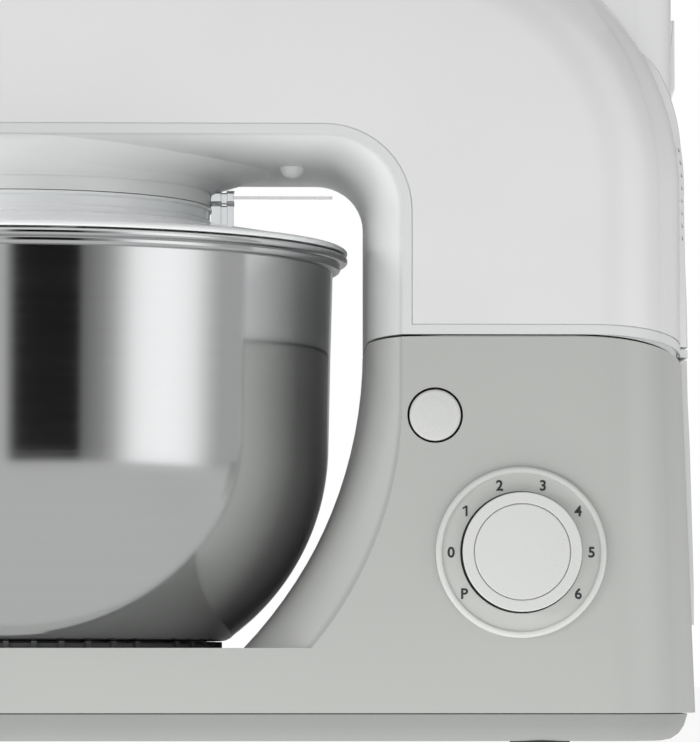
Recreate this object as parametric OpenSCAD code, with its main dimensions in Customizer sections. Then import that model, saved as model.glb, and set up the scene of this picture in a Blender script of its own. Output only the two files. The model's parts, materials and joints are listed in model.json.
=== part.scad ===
// Tilt-head stand mixer with a steel bowl, a clear splash guard and a jar blender on the rear drive.
// +Z is up, the nose of the head points to -X and the dial is on the -Y side.
// The origin lies on the counter, under the middle of the machine.

/* [Overall] */
// Length of the base from its front to its back
base_l = 380; // [374:1:392]
// Width of the base, the column and the head
body_w = 160; // [152:1:168]
// Height of the seam between the column and the head
seam_z = 148; // [145:0.5:151]
// Height of the top of the head
head_top = 307; // [301:1:315]
// Distance from the front of the base to the bowl's axis
bowl_setback = 128; // [124:1:132]
// How far the rear face leans in from the base up to the seam
rear_draft = 5; // [2:0.5:7]

/* [Walls and gaps] */
// Wall of the moulded casings
wall = 3; // [2.4:0.1:3.6]
// Gap between the head and the column at the sides
seam_gap = 0.9; // [0.6:0.1:1.4]
// Gap between two mouldings that are screwed together
panel_gap = 0.4; // [0.2:0.1:0.6]
// Clearance that keeps moving pieces apart
run_gap = 0.5; // [0.4:0.1:0.8]
// Radial clearance of a shaft or pin in its bore
fit_gap = 0.05; // [0.02:0.01:0.09]

/* [Base] */
// Height of the deck under the bowl
deck_z = 35.3; // [32:0.5:38]
// Height of the top of the plinth
plinth_z = 11.4; // [10:0.2:13]
// How far the plinth is set in from the casing
plinth_inset = 3; // [2:0.5:5]
// How far the rubber feet stand out below the plinth
foot_drop = 1.6; // [1:0.2:3]
// Radius of a rubber foot
foot_r = 11; // [9:0.5:13]
// Radius of the casing's rear corners
corner_r = 33; // [28:1:38]
// Radius of the base's front corners
front_r = 62; // [50:1:70]

/* [Throat] */
// Clearance between the bowl's rim and the column
rim_clear = 6.5; // [5:0.5:10]
// Radius of the curve that the column follows round the bowl
throat_r = 166; // [150:1:180]
// Depth of the rounded edge down the column
side_bulge = 11.6; // [8:0.2:14]
// Half width of the flat middle of the throat
throat_flat = 34; // [26:1:44]
// Height of the head's underside
under_z = 215.5; // [213:0.5:219]
// Depth of the rounded edge along the underside
under_bulge = 6.5; // [4:0.5:9]
// Height of the strip between the rounded edge and the white shell
strip_h = 3.6; // [3:0.2:5]

/* [Head] */
// Radius of the long edges of the head
edge_r = 33; // [28:1:38]
// Radius of the shoulder at the back of the head
shoulder_r = 103; // [95:1:108]
// How far the nose's round end is centred in front of the bowl's axis
nose_reach = 28; // [22:1:34]
// How far the seam drops at the back of the head
head_dip = 6.5; // [4:0.5:8]

/* [Bowl] */
// Radius of the bowl's rim
rim_r = 125; // [118:1:128]
// Height of the bowl's rim
rim_z = 183.5; // [181:0.5:186]
// Thickness of the bowl's steel
bowl_t = 1.2; // [0.8:0.1:1.6]
// Radius of the bowl's foot
bowl_foot_r = 78.5; // [74:0.5:82]

/* [Controls] */
// Distance of the dial's axis from the back of the base
dial_back = 66; // [60:1:72]
// Height of the dial's axis
dial_z = 69.8; // [66:0.2:76]
// Radius of the dial's bezel
bezel_r = 31; // [28:0.5:34]
// Radius of the dial's knob
knob_r = 21.6; // [19:0.2:24]
// Distance of the release button from the back of the base
button_back = 97; // [95:0.5:100]
// Height of the release button
button_z = 119.5; // [112:0.5:124]
// Radius of the release button
button_r = 9.3; // [8:0.1:10]
// Travel of the release button
button_travel = 4; // [2:0.5:5]

/* [Drive] */
// Module of the planetary gears
gear_m = 1.5; // [1.4:0.02:1.6]
// Teeth of the ring gear
ring_teeth = 54; // [54:3:57]
// Teeth of the planet pinion
pinion_teeth = 18; // [18:1:19]
// Distance of the motor's axis from the back of the base
motor_back = 61; // [58:1:64]
// Radius of the hinge pin
pin_r = 5; // [4:0.25:6]
// Distance of the hinge pin from the back of the head
pin_back = 16; // [15:0.5:18]
// Height of the hinge pin above the seam
pin_rise = 20; // [18:0.5:22]

/* [Jar] */
// Radius of the drive tower at its foot
tower_r = 57; // [54:0.5:58]
// Height of the top of the drive tower
tower_top = 326; // [322:1:334]
// Radius of the jar's glass at its mouth
jar_r = 56; // [50:1:60]
// Height of the jar's glass
jar_h = 150; // [130:1:170]
// Thickness of the jar's glass
jar_t = 3.5; // [3:0.1:4.5]

/* [Hidden] */
$fn = 96;

half_w = body_w / 2;
front_x = -base_l / 2;
rear_x = base_l / 2;
rear_top_x = rear_x - rear_draft;
bowl_x = front_x + bowl_setback;
nose_x = bowl_x - nose_reach;
throat_x = bowl_x + rim_r + rim_clear;
shoulder_x = rear_top_x - shoulder_r;
shoulder_z = head_top - shoulder_r;
body_z = plinth_z + panel_gap;
crease_z = under_z + under_bulge;
strip_z = seam_z + seam_gap + strip_h;
floor_z = seam_z + seam_gap + wall;
far_x = front_x - 40;
body_dip = head_dip + 3;
rim_t = 1.2;
dial_x = rear_x - dial_back;
button_x = rear_x - button_back;
motor_x = rear_x - motor_back;
pin_x = rear_top_x - pin_back;
pin_z = seam_z + pin_rise;

// Hinge: ears of the bracket and lugs of the frame
ear_y = 52;
ear_t = 4;
ear_r = 9;
lug_y = 58;
lug_t = 6;
bracket_drop = 36;

// Depths behind the dial side's face
board_y = wall + 29;
board_t = 1.6;
button_in = 6.5;
guide_in = 18;
latch_in = 24;
latch_y = latch_in + 3 - half_w;
stem_r = 3;
striker_t = 1.5;

// Dial
shaft_r = 4;
bush_r = 9;
cap_r = knob_r - 4.2;
knob_h = 9;

// Mains inlet at the back
gland_y = 0;
gland_z = 30;
gland_r = 6;

// Seat of the bowl
seat_h = 2.6;
seat_ribs = 48;
bowl_base_z = deck_z + seat_h + 0.3;

// Guard
boss_z = under_z - 8;
boss_ring_r = 73;
guard_ring_h = 5.2;
collar_r = 72.6;
collar_top = boss_z - guard_ring_h - 0.5;

// Gearing and drive
hub_r = 60;
hub_z = under_z - 9;
hub_top = under_z + 7;
ring_z = under_z + 9;
ring_h = 10;
ring_r = ring_teeth * gear_m / 2 + 9;
tool_e = (ring_teeth - pinion_teeth) * gear_m / 2;
tool_r = 5;
main_r = 6;
bearing_r = 13;
bearing_h = 9;
bearing_at = [ring_z + ring_h + 5, ring_z + ring_h + 22];
bearing_top = bearing_at[1] + bearing_h;
pulley_z = bearing_top + 4;
pulley_h = 14;
big_r = 42;
small_r = 9;
motor_r = 36;
motor_z = floor_z + 34;
motor_h = 72;
motor_shaft_r = 4;
rotor_r = 22;
dog_z = head_top - 4;
socket_r = 30;

// Whisk
whisk_loops = 5;
whisk_r = 38;
whisk_z = 52;
wire_r = 1.2;

// Vents in the back of the head
vent_count = 8;
vent_pitch = 4.7;
vent_z = seam_z + 38;

// Lid of the jar
cap_hole_r = 22;

// Curves of the throat
side_r = throat_r - 26.6;
mid_c = [throat_x - throat_r, seam_z + 2];
side_c = [throat_x + side_bulge - side_r, seam_z - 23];
arch_mid_r = 18;
arch_side_r = 28;
nose_rise = 40;
edge_sweep = 60;
edge_steps = 6;

function arc(c, r, a0, a1, n) =
    [for (i = [0:n]) let (a = a0 + (a1 - a0) * i / n) [c[0] + r * cos(a), c[1] + r * sin(a)]];

// Outline of the throat at the middle of the machine, grown by o into the casings
function mid_line(o) = concat(
    [[far_x, deck_z - o]],
    arc(mid_c, throat_r + o, asin((deck_z - o - mid_c[1]) / (throat_r + o)), 0, 16),
    arc([throat_x - arch_mid_r, under_z - arch_mid_r], arch_mid_r + o, 0, 90, 10),
    [for (a = [0:15:90]) [nose_x - nose_rise * (1 + sin(a)), under_z + o + under_bulge * (1 - cos(a))]],
    [[far_x, crease_z + o]]);

// The same outline on the side faces
function side_line(o) = concat(
    [[far_x, deck_z - o]],
    arc(side_c, side_r + o, asin((deck_z - o - side_c[1]) / (side_r + o)), 0, 16),
    arc([throat_x + side_bulge - arch_side_r, crease_z - arch_side_r], arch_side_r + o, 0, 90, 10),
    [for (a = [0:15:90]) [nose_x - nose_rise * (1 + sin(a)), crease_z + o + 0.3 * (1 - cos(a))]],
    [[far_x, crease_z + o + 0.3]]);

// Stations across the machine as [y, share of the side outline]: a flat middle and two round edges
edge_half = [for (k = [0:edge_steps]) let (a = edge_sweep * k / edge_steps)
    [throat_flat + (half_w - throat_flat) * sin(a) / sin(edge_sweep), (1 - cos(a)) / (1 - cos(edge_sweep))]];
stations = concat(
    [[-half_w - 8, 1]],
    [for (k = [edge_steps:-1:0]) [-edge_half[k][0], edge_half[k][1]]],
    edge_half,
    [[half_w + 8, 1]]);

// A solid through equal outlines: sections is a list of point lists
module loft(sections) {
    n = len(sections[0]);
    m = len(sections);
    polyhedron(
        points = [for (s = sections) each s],
        faces = concat(
            [[for (i = [n - 1:-1:0]) i]],
            [for (j = [0:m - 2]) for (i = [0:n - 1]) let (k = (i + 1) % n)
                [j * n + i, j * n + k, (j + 1) * n + k]],
            [for (j = [0:m - 2]) for (i = [0:n - 1]) let (k = (i + 1) % n)
                [j * n + i, (j + 1) * n + k, (j + 1) * n + i]],
            [[for (i = [0:n - 1]) (m - 1) * n + i]]),
        convexity = 8);
}

// The open space between the deck, the column and the head, grown by o
module throat(o = 0) {
    mid = mid_line(o);
    side = side_line(o);
    loft([for (s = stations) [for (i = [0:len(mid) - 1])
        let (p = mid[i] + (side[i] - mid[i]) * s[1]) [p[0], s[0], p[1]]]]);
}

// Something drawn in X and Z, carried through the whole width
module across(w = 2 * half_w + 20) {
    rotate([90, 0, 0]) linear_extrude(w, center = true) children();
}

// Everything above the seam, which drops round the back by dip
module above_seam(z, dip, sweep = 35) {
    across() polygon(concat(
        [[far_x, z]],
        [for (a = [0:9:90]) [rear_top_x - sweep * (1 - sin(a)), z - dip * (1 - cos(a))]],
        [[rear_x + 30, z - dip], [rear_x + 30, head_top + 60], [far_x, head_top + 60]]));
}

// Slab with two round corners: half wide, from q0 to q1 deep, corner radius r
module slab(half, q0, q1, r) {
    translate([-half, q0]) square([2 * half, q1 - r - q0]);
    translate([r - half, q0]) square([2 * (half - r), q1 - q0]);
    for (s = [-1, 1]) translate([s * (half - r), q1 - r]) circle(r);
}

// Outside of the head, made smaller by o on every side
module head_form(o = 0) {
    h = half_w - o;
    r = edge_r - o;
    low = -40;
    translate([nose_x, 0, shoulder_z]) rotate([0, 0, 90]) rotate_extrude(angle = 180)
        intersection() {
            slab(h, 0, shoulder_r - o, r);
            square([h + 1, shoulder_r + 1]);
        }
    translate([nose_x, 0, shoulder_z]) rotate([90, 0, 90])
        linear_extrude(shoulder_x - nose_x) slab(h, 0, shoulder_r - o, r);
    translate([shoulder_x, 0, shoulder_z]) rotate([90, 0, 0]) rotate_extrude(angle = 90)
        rotate(-90) slab(h, 0, shoulder_r - o, r);
    translate([shoulder_x, 0, seam_z - 20]) linear_extrude(shoulder_z - seam_z + 20)
        rotate(-90) slab(h, low, shoulder_r - o, r);
}

// The part of the head that belongs to the inner frame, up to the line of the white shell
module frame_zone(o = 0) {
    d = strip_h + o;
    across() polygon(concat(
        [[far_x, crease_z + d], [far_x, seam_z - 40], [rear_x + 30, seam_z - 40]],
        [[rear_x + 30, strip_z - head_dip + o]],
        [for (a = [90:-9:0]) [rear_top_x - 35 * (1 - sin(a)), strip_z + o - head_dip * (1 - cos(a))]],
        [[throat_x + side_bulge + d, strip_z + o]],
        arc([throat_x + side_bulge - arch_side_r, crease_z - arch_side_r], arch_side_r + d, 0, 90, 12)));
}

// Plan of the base, made smaller by o, with its rear edge at back
module base_plan(o, back) {
    difference() {
        translate([front_x + o, o - half_w]) square([back - front_x - 2 * o, 2 * (half_w - o)]);
        for (s = [-1, 1]) {
            corner_cut(front_x + o, s * (half_w - o), front_r - o, 1, -s);
            corner_cut(back - o, s * (half_w - o), corner_r - o, -1, -s);
        }
    }
}

module corner_cut(x, y, r, sx, sy) {
    difference() {
        translate([x, y]) scale_free(sx, sy) translate([-1, -1]) square(r + 1);
        translate([x + sx * r, y + sy * r]) circle(r);
    }
}

module scale_free(sx, sy) {
    mirror([sx < 0 ? 1 : 0, 0]) mirror([0, sy < 0 ? 1 : 0]) children();
}

// Outside of the base and the column before the throat is cut
module body_form() {
    $fn = 32;
    hull() {
        translate([0, 0, body_z]) linear_extrude(0.01) base_plan(0, rear_x);
        translate([0, 0, seam_z - 0.01]) linear_extrude(0.01) base_plan(0, rear_top_x);
    }
}

// Upright core of the same plan as the top of the column, made smaller by o
module body_core(o, z0, z1) {
    translate([0, 0, z0]) linear_extrude(z1 - z0) base_plan(o, rear_top_x);
}

module tube(h, ro, ri) {
    difference() {
        cylinder(h = h, r = ro);
        translate([0, 0, -1]) cylinder(h = h + 2, r = ri);
    }
}

// Gear outline with straight-sided teeth. grow widens the teeth, for cutting a ring gear
module gear_outline(n, m, tip, root, grow = 0) {
    r = n * m / 2;
    p = 360 / n;
    polygon([for (i = [0:n - 1])
        for (q = [[r - root, -0.33 - grow], [r + tip, -0.13 - grow], [r + tip, 0.13 + grow], [r - root, 0.33 + grow]])
            [q[0] * cos(p * (i + q[1])), q[0] * sin(p * (i + q[1]))]]);
}

/* ---- base ---- */

boss_at = [for (x = [front_x + 34, rear_x - 34]) for (s = [-1, 1]) [x, s * (half_w - 24)]];
foot_at = [for (x = [front_x + 52, rear_x - 58]) for (s = [-1, 1]) [x, s * (half_w - 22)]];
boss_r = 5.5;
screw_r = 1.9;
screw_head_r = 3.4;

module body_casing() color([0.73, 0.73, 0.72]) difference() {
    union() {
        difference() {
            body_form();
            throat();
            difference() {
                body_core(wall, body_z - 2, seam_z + 2);
                throat(wall);
            }
        }
        for (p = boss_at) translate([p[0], p[1], body_z])
            cylinder(h = deck_z - wall / 2 - body_z, r = boss_r);
        translate([button_x, wall / 2 - half_w, button_z]) rotate([-90, 0, 0])
            cylinder(h = 10, r = button_r + 2.4);
        for (x = [-30, 30]) translate([dial_x + x, 1.5 - half_w, dial_z + 30]) rotate([-90, 0, 0])
            cylinder(h = board_y - 1.5, r = 3);
        // Ledges for the hinge bracket and webs for the rear screw posts
        for (s = [0, 1]) mirror([0, s]) {
            translate([pin_x - 41, ear_y - 8, pin_z - bracket_drop - 14])
                cube([22, half_w - 1.5 - ear_y + 8, 14]);
            translate([boss_at[2][0] - 1.5, boss_at[3][1], body_z])
                cube([3, half_w - 1.5 - boss_at[3][1], deck_z - wall / 2 - body_z]);
        }
    }
    above_seam(seam_z, body_dip, 40);
    // Step inside the rim at the back, which lets the head's edge swing in
    intersection() {
        body_core(rim_t, seam_z - 20, seam_z + 1);
        above_seam(seam_z - 5, body_dip, 40);
        translate([pin_x - 12, -half_w, seam_z - 20]) cube([60, 2 * half_w, 30]);
    }
    for (p = boss_at) translate([p[0], p[1], body_z - 1]) cylinder(h = 14, r = screw_r);
    translate([button_x, -half_w - 1, button_z]) rotate([-90, 0, 0]) cylinder(h = 20, r = button_r + 0.8);
    translate([dial_x, -half_w - 1, dial_z]) rotate([-90, 0, 0]) cylinder(h = wall + 2, r = bush_r + 0.2);
    translate([rear_x - 12, gland_y, gland_z]) rotate([0, 90, 0]) cylinder(h = 20, r = gland_r);
    translate([bowl_x, 0, deck_z - wall - 1]) cylinder(h = wall + 2, r = 20);
}

module base_plate() color([0.68, 0.68, 0.67]) difference() {
    round_h = 9;
    union() {
        difference() {
            hull() {
                translate([0, 0, plinth_z - 0.01]) linear_extrude(0.01) base_plan(plinth_inset, rear_x);
                for (a = [0:22.5:90]) translate([0, 0, foot_drop + round_h * (1 - sin(a))])
                    linear_extrude(0.01) base_plan(plinth_inset + 0.6 + round_h * (1 - cos(a)), rear_x);
            }
            translate([0, 0, foot_drop + wall]) linear_extrude(plinth_z)
                base_plan(plinth_inset + wall + 6, rear_x);
        }
        for (p = boss_at) translate([p[0], p[1], foot_drop]) cylinder(h = plinth_z - foot_drop, r = boss_r);
    }
    for (p = foot_at) translate([p[0], p[1], 0]) cylinder(h = foot_drop + 1.2, r = foot_r);
    for (p = boss_at) translate([p[0], p[1], 0]) {
        cylinder(h = plinth_z + 2, r = screw_r);
        cylinder(h = foot_drop + 2, r = screw_head_r + 0.3);
    }
}

module feet() color([0.2, 0.2, 0.2])
    for (p = foot_at) translate([p[0], p[1], 0]) cylinder(h = foot_drop + 1.2, r = foot_r);

module base_screws() color([0.75, 0.75, 0.77])
    for (p = boss_at) translate([p[0], p[1], foot_drop + 0.4]) {
        cylinder(h = 1.6, r = screw_head_r);
        cylinder(h = 20, r = screw_r);
    }

// Seat of the bowl: a ring with ribs round it and a step that centres the bowl's foot
module bowl_seat() color([0.16, 0.16, 0.17]) translate([bowl_x, 0, deck_z]) {
    tube(seat_h, bowl_foot_r - 6, 19);
    for (k = [0:seat_ribs - 1]) rotate(k * 360 / seat_ribs)
        translate([bowl_foot_r - 6.4, -1, 0]) cube([5.4, 2, seat_h]);
    tube(seat_h - 0.8, bowl_foot_r - 2, bowl_foot_r - 6.2);
    translate([0, 0, -wall]) tube(wall + 0.2, 20, 16);
}

// Curved floor of the hinge well, which follows the swing of the head's back edge
module column_cover() color([0.2, 0.2, 0.21]) {
    in = wall + 0.2;
    well_r = norm([pin_back, pin_rise + head_dip + 1]) + 1.5;
    a0 = 180 + asin((pin_rise + 2.5) / well_r);
    difference() {
        intersection() {
            body_core(in, body_z, seam_z + 1);
            across(2 * (half_w - in)) difference() {
                polygon(concat([[throat_x, seam_z - 5], [throat_x, seam_z - 2.5]],
                    arc([pin_x, pin_z], well_r, a0, 300, 10), [[rear_x, pin_z + well_r * sin(300)]],
                    [[rear_x, pin_z - well_r - 2.4]],
                    arc([pin_x, pin_z], well_r + 2.4, 290, a0, 10), [[pin_x - well_r, seam_z - 5]]));
            }
        }
        throat(in);
        for (s = [-1, 1]) translate([pin_x, s * ear_y, pin_z]) ear_form(0.4);
        translate([button_x, latch_y - 1, seam_z - 6]) cube([9, 14, 20], center = true);
    }
}

// Ear of the hinge: a leg that leans forward under the pin and ends in a round eye
module ear_form(o = 0) {
    rotate([90, 0, 0]) linear_extrude(ear_t + 2 * o, center = true) {
        circle(ear_r + o);
        polygon([[-ear_r - o, 0], [ear_r * 0.7 + o, -ear_r * 0.75 - o], [-20 + o, -34 - o], [-42 - o, -34 - o]]);
    }
}

// Steel hinge bracket: a foot plate with two ears
module hinge_bracket() color([0.6, 0.61, 0.63]) difference() {
    union() {
        for (s = [-1, 1]) translate([pin_x, s * ear_y, pin_z]) ear_form();
        translate([pin_x - 42, -ear_y - ear_t / 2, pin_z - bracket_drop]) cube([24, 2 * ear_y + ear_t, 3]);
    }
    translate([pin_x, 0, pin_z]) rotate([90, 0, 0]) cylinder(h = 300, r = pin_r, center = true);
}

module hinge_pin() color([0.72, 0.73, 0.75]) translate([pin_x, 0, pin_z]) rotate([90, 0, 0])
    cylinder(h = 2 * (lug_y + lug_t / 2), r = pin_r, center = true);

// Rubber bush where the mains lead enters
module cord_gland() color([0.18, 0.18, 0.19]) translate([rear_top_x - wall, gland_y, gland_z])
    rotate([0, 90, 0]) difference() {
        union() {
            cylinder(h = rear_draft + wall - 0.2, r = gland_r);
            translate([0, 0, -2]) cylinder(h = 2, r = gland_r + 2);
        }
        translate([0, 0, -3]) cylinder(h = 20, r = 3.4);
    }

module speed_switch() color([0.15, 0.15, 0.16]) difference() {
    translate([dial_x - 20, wall + 1.2 - half_w, dial_z - 20]) cube([40, board_y - wall - 1.2, 40]);
    translate([dial_x, -half_w, dial_z]) rotate([-90, 0, 0]) cylinder(h = 24, r = shaft_r + fit_gap);
}

module control_board() color([0.1, 0.32, 0.18]) {
    translate([dial_x - 34, board_y - half_w, dial_z - 34]) cube([68, board_t, 70]);
    for (x = [-22, 0, 22]) translate([dial_x + x, board_y + board_t - half_w, dial_z + 18])
        rotate([-90, 0, 0]) cylinder(h = 14, r = 6);
    translate([dial_x - 26, board_y + board_t - half_w, dial_z - 26]) cube([52, 9, 22]);
}

module dial_bezel() color([0.78, 0.79, 0.79]) translate([dial_x, -half_w, dial_z]) rotate([90, 0, 0]) {
    difference() {
        union() {
            cylinder(h = 2.2, r = bezel_r);
            rotate_extrude() translate([bezel_r - 2.4, 1.6])
                polygon([[0, 0], [0.5, 1.5], [1.6, 1.5], [2.4, 0]]);
            translate([0, 0, -wall - 1]) cylinder(h = wall + 1.5, r = bush_r);
        }
        translate([0, 0, -wall - 2]) cylinder(h = wall + 8, r = shaft_r + 0.6);
    }
}

module dial_knob() color([0.93, 0.93, 0.92]) translate([dial_x, -half_w, dial_z]) rotate([90, 0, 0])
    difference() {
        rotate_extrude() polygon(concat([[0, 2.8], [knob_r - 0.6, 2.8], [knob_r, 3.4]],
            arc([knob_r - 0.8, knob_h + 0.1], 0.8, 0, 80, 4),
            [[cap_r + 0.25, knob_h + 0.9], [cap_r + 0.25, knob_h - 1], [0, knob_h - 1]]));
        translate([0, 0, 1]) cylinder(h = knob_h - 4, r = shaft_r);
    }

module dial_cap() color([0.95, 0.95, 0.94]) translate([dial_x, -half_w, dial_z]) rotate([90, 0, 0])
    rotate_extrude() polygon([[0, knob_h - 1], [cap_r, knob_h - 1], [cap_r, knob_h + 0.5],
        [cap_r - 0.5, knob_h + 1], [cap_r * 0.6, knob_h + 1.3], [0, knob_h + 1.4]]);

module dial_shaft() color([0.7, 0.7, 0.72]) translate([dial_x, 20 - half_w, dial_z]) rotate([90, 0, 0])
    cylinder(h = 17 + knob_h, r = shaft_r);

module release_button() color([0.93, 0.93, 0.92]) translate([button_x, -half_w, button_z])
    rotate([90, 0, 0]) {
        translate([0, 0, -button_in]) rotate_extrude() polygon([[0, 0], [button_r, 0], [button_r, button_in - 0.4],
            [button_r - 0.8, button_in + 0.4], [button_r * 0.5, button_in + 0.8], [0, button_in + 0.9]]);
        translate([0, 0, -latch_in]) cylinder(h = latch_in - button_in, r = stem_r);
    }

// Round wire wound into a helix of n turns: radius r, wire radius w, length l
module coil(r, w, l, n) {
    per = 14;
    loft([for (k = [0:n * per]) let (a = k * 360 / per, z = w + (l - 2 * w) * k / (n * per))
        [for (q = [300:-60:0]) [(r + w * cos(q)) * cos(a), (r + w * cos(q)) * sin(a), z - w * sin(q)]]]);
}

module button_spring() color([0.7, 0.7, 0.72]) translate([button_x, guide_in - half_w, button_z])
    rotate([90, 0, 0]) coil(stem_r + 2.2, 0.45, guide_in - button_in, 5);

// Bulkhead under the hinge well that guides the button's stem and carries its spring
module button_guide() color([0.2, 0.2, 0.21]) difference() {
    translate([button_x - 7, guide_in - half_w, button_z - 7]) cube([14, 3, seam_z - 5 - button_z + 7]);
    translate([button_x, guide_in - half_w - 1, button_z]) rotate([-90, 0, 0])
        cylinder(h = 6, r = stem_r + fit_gap);
}

// Latch bar on the button's stem, with its tongue above the level of the striker
module latch_bar() color([0.62, 0.63, 0.65]) {
    tongue_z = floor_z + striker_t + 0.9;
    translate([button_x - 3.5, latch_in - half_w, button_z - 4]) cube([7, 3, tongue_z + 2 - button_z + 4]);
    translate([button_x - 3.5, latch_in - 6 - half_w, tongue_z]) cube([7, 6.5, 2]);
}

/* ---- head ---- */

module arm_shell() color([0.94, 0.94, 0.93]) difference() {
    head_form();
    head_form(wall);
    frame_zone(panel_gap / 2);
    for (k = [0:vent_count - 1]) for (s = [-1, 1])
        translate([rear_top_x - 2 * wall, s * 26 - 21, vent_z + k * vent_pitch]) cube([3 * wall, 42, 2.2]);
    translate([motor_x, 0, shoulder_z + 50]) cylinder(h = 100, r = socket_r + 0.5);
}

// Inner frame: underside, arch, front of the upper column, floor, hinge lugs
module arm_frame() color([0.9, 0.9, 0.88]) difference() {
    union() {
        difference() {
            intersection() {
                head_form();
                frame_zone(-panel_gap / 2);
            }
            throat();
            intersection() {
                head_form(wall);
                above_seam(floor_z, head_dip);
                difference() {
                    translate([front_x, -half_w, 0]) cube([base_l, 2 * half_w, head_top]);
                    throat(wall);
                }
            }
        }
        // Fairing round the hub, and a pip beside it
        translate([bowl_x, 0, 0]) rotate_extrude() polygon([[hub_r + 1.5, boss_z], [boss_ring_r, boss_z],
            [boss_ring_r + 2, boss_z + 2.5], [boss_ring_r + 3.5, under_z + 0.8], [hub_r + 1.5, under_z + 0.8]]);
        translate([bowl_x + 103.6, -25, under_z + 0.4]) intersection() {
            sphere(4.7);
            translate([0, 0, -5]) cube([12, 12, 14], center = true);
        }
        for (s = [-1, 1]) translate([pin_x, s * lug_y, pin_z]) rotate([90, 0, 0])
            linear_extrude(lug_t, center = true) {
                circle(pin_r + 4.2);
                translate([-pin_r - 4.2, floor_z - pin_z - 1]) square([2 * pin_r + 8.4, pin_z - floor_z + 1]);
            }
    }
    difference() {
        across() translate([far_x, 0]) square([3 * base_l, seam_z + seam_gap]);
        above_seam(seam_z + seam_gap, head_dip);
    }
    translate([pin_x, 0, pin_z]) rotate([90, 0, 0]) cylinder(h = 300, r = pin_r + fit_gap, center = true);
    for (s = [-1, 1]) translate([pin_x - 29, s * ear_y - ear_t / 2 - run_gap, seam_z - head_dip - 1])
        cube([40, ear_t + 2 * run_gap, wall + head_dip + 3.5]);
    translate([button_x - 6.5, latch_in - 6.5 - half_w, seam_z - 9]) cube([13, 17, 30]);
    translate([bowl_x, 0, boss_z - 5]) cylinder(h = 40, r = hub_r + 1.5);
}

module striker() color([0.62, 0.63, 0.65])
    translate([button_x - 6, latch_in - 12.5 - half_w, floor_z]) cube([12, 5.5, striker_t]);

// Clear guard over the bowl, with its round collar and the lower half of the clip post
module splash_guard() color([0.8, 0.86, 0.9, 0.4]) {
    z = rim_z + run_gap;
    translate([bowl_x, 0, 0]) rotate_extrude() polygon([[rim_r, z], [rim_r, z + 1.8], [rim_r - 2, z + 2.4],
        [collar_r + 8, z + 9.6], [collar_r, z + 10.4], [collar_r, collar_top], [collar_r - 1.8, collar_top],
        [collar_r - 1.8, z + 8.6], [collar_r + 8, z + 7.8], [rim_r - 4, z]]);
    translate([bowl_x + collar_r - 0.8, -5, z + 8.4]) cube([9.4, 10, collar_top - z - 8.4]);
    translate([bowl_x + boss_ring_r + 0.4, -5, collar_top - 0.1]) cube([8.2, 10, 2.5]);
}

// Light ring under the fairing, which the collar of the guard meets
module guard_ring() color([0.9, 0.9, 0.88]) translate([bowl_x, 0, boss_z - guard_ring_h])
    tube(guard_ring_h, boss_ring_r, boss_ring_r - 5);

// Clear clip beside the ring that carries the guard, with its thin arm
module guard_clip() color([0.85, 0.88, 0.9, 0.5]) translate([bowl_x + boss_ring_r + 0.2, 0, collar_top + 3.4])
    difference() {
        union() {
            translate([0, -5, 0]) cube([8.6, 10, boss_z + 5 - collar_top - 3.4]);
            translate([8, -5, 1]) cube([38, 10, 0.8]);
        }
        translate([-0.2, 0, boss_z - collar_top - 3.4]) rotate_about(-boss_ring_r, 0) rotate_extrude()
            polygon([[0, 0], [boss_ring_r, 0], [boss_ring_r + 2, 2.5], [boss_ring_r + 3.5, 8.8], [0, 8.8]]);
    }

module rotate_about(x, a) {
    translate([x, 0, 0]) rotate(a) children();
}

/* ---- gearing ---- */

// Cup over the hub that holds the ring gear and the bearings of the main shaft
module gear_housing() color([0.75, 0.76, 0.77]) difference() {
    translate([bowl_x, 0, 0]) union() {
        translate([0, 0, under_z]) cylinder(h = ring_z + ring_h + 3 - under_z, r = hub_r + 6);
        translate([0, 0, ring_z]) cylinder(h = bearing_top - ring_z, r = bearing_r + 4);
        for (a = [0:60:300]) rotate(a) translate([0, -1.5, ring_z + ring_h]) cube([hub_r, 3, 12]);
    }
    throat(wall + 0.02);
    translate([bowl_x, 0, 0]) {
        translate([0, 0, under_z - 10]) cylinder(h = ring_z - under_z + 10, r = hub_r + 1.5);
        translate([0, 0, under_z]) cylinder(h = ring_z + ring_h - under_z, r = ring_r);
        translate([0, 0, ring_z]) cylinder(h = 80, r = main_r + 3);
        for (z = bearing_at) translate([0, 0, z]) cylinder(h = bearing_h, r = bearing_r);
        translate([0, 0, bearing_at[1]]) cylinder(h = 40, r = bearing_r);
    }
}

module ring_gear() color([0.55, 0.56, 0.58]) translate([bowl_x, 0, ring_z]) difference() {
    cylinder(h = ring_h, r = ring_r);
    translate([0, 0, -1]) linear_extrude(ring_h + 2)
        gear_outline(ring_teeth, gear_m, 1.25 * gear_m, gear_m, 0.035);
}

module bearings() color([0.8, 0.81, 0.83]) translate([bowl_x, 0, 0])
    for (z = bearing_at) translate([0, 0, z]) tube(bearing_h, bearing_r, main_r + fit_gap);

module main_shaft() color([0.7, 0.71, 0.73]) translate([bowl_x, 0, hub_z + 3])
    cylinder(h = pulley_z + pulley_h + 4 - hub_z - 3, r = main_r);

module drive_pulley() color([0.25, 0.25, 0.27]) translate([bowl_x, 0, pulley_z]) difference() {
    union() {
        cylinder(h = 1.4, r = big_r + 2);
        translate([0, 0, pulley_h - 1.4]) cylinder(h = 1.4, r = big_r + 2);
        tube(pulley_h, big_r, big_r - 4);
        translate([0, 0, 4]) cylinder(h = 3, r = big_r - 1);
        cylinder(h = pulley_h, r = main_r + 5);
    }
    translate([0, 0, -1]) cylinder(h = pulley_h + 2, r = main_r);
    for (a = [0:60:300]) rotate(a) translate([big_r * 0.58, 0, 2]) cylinder(h = 6, r = 7);
}

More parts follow.
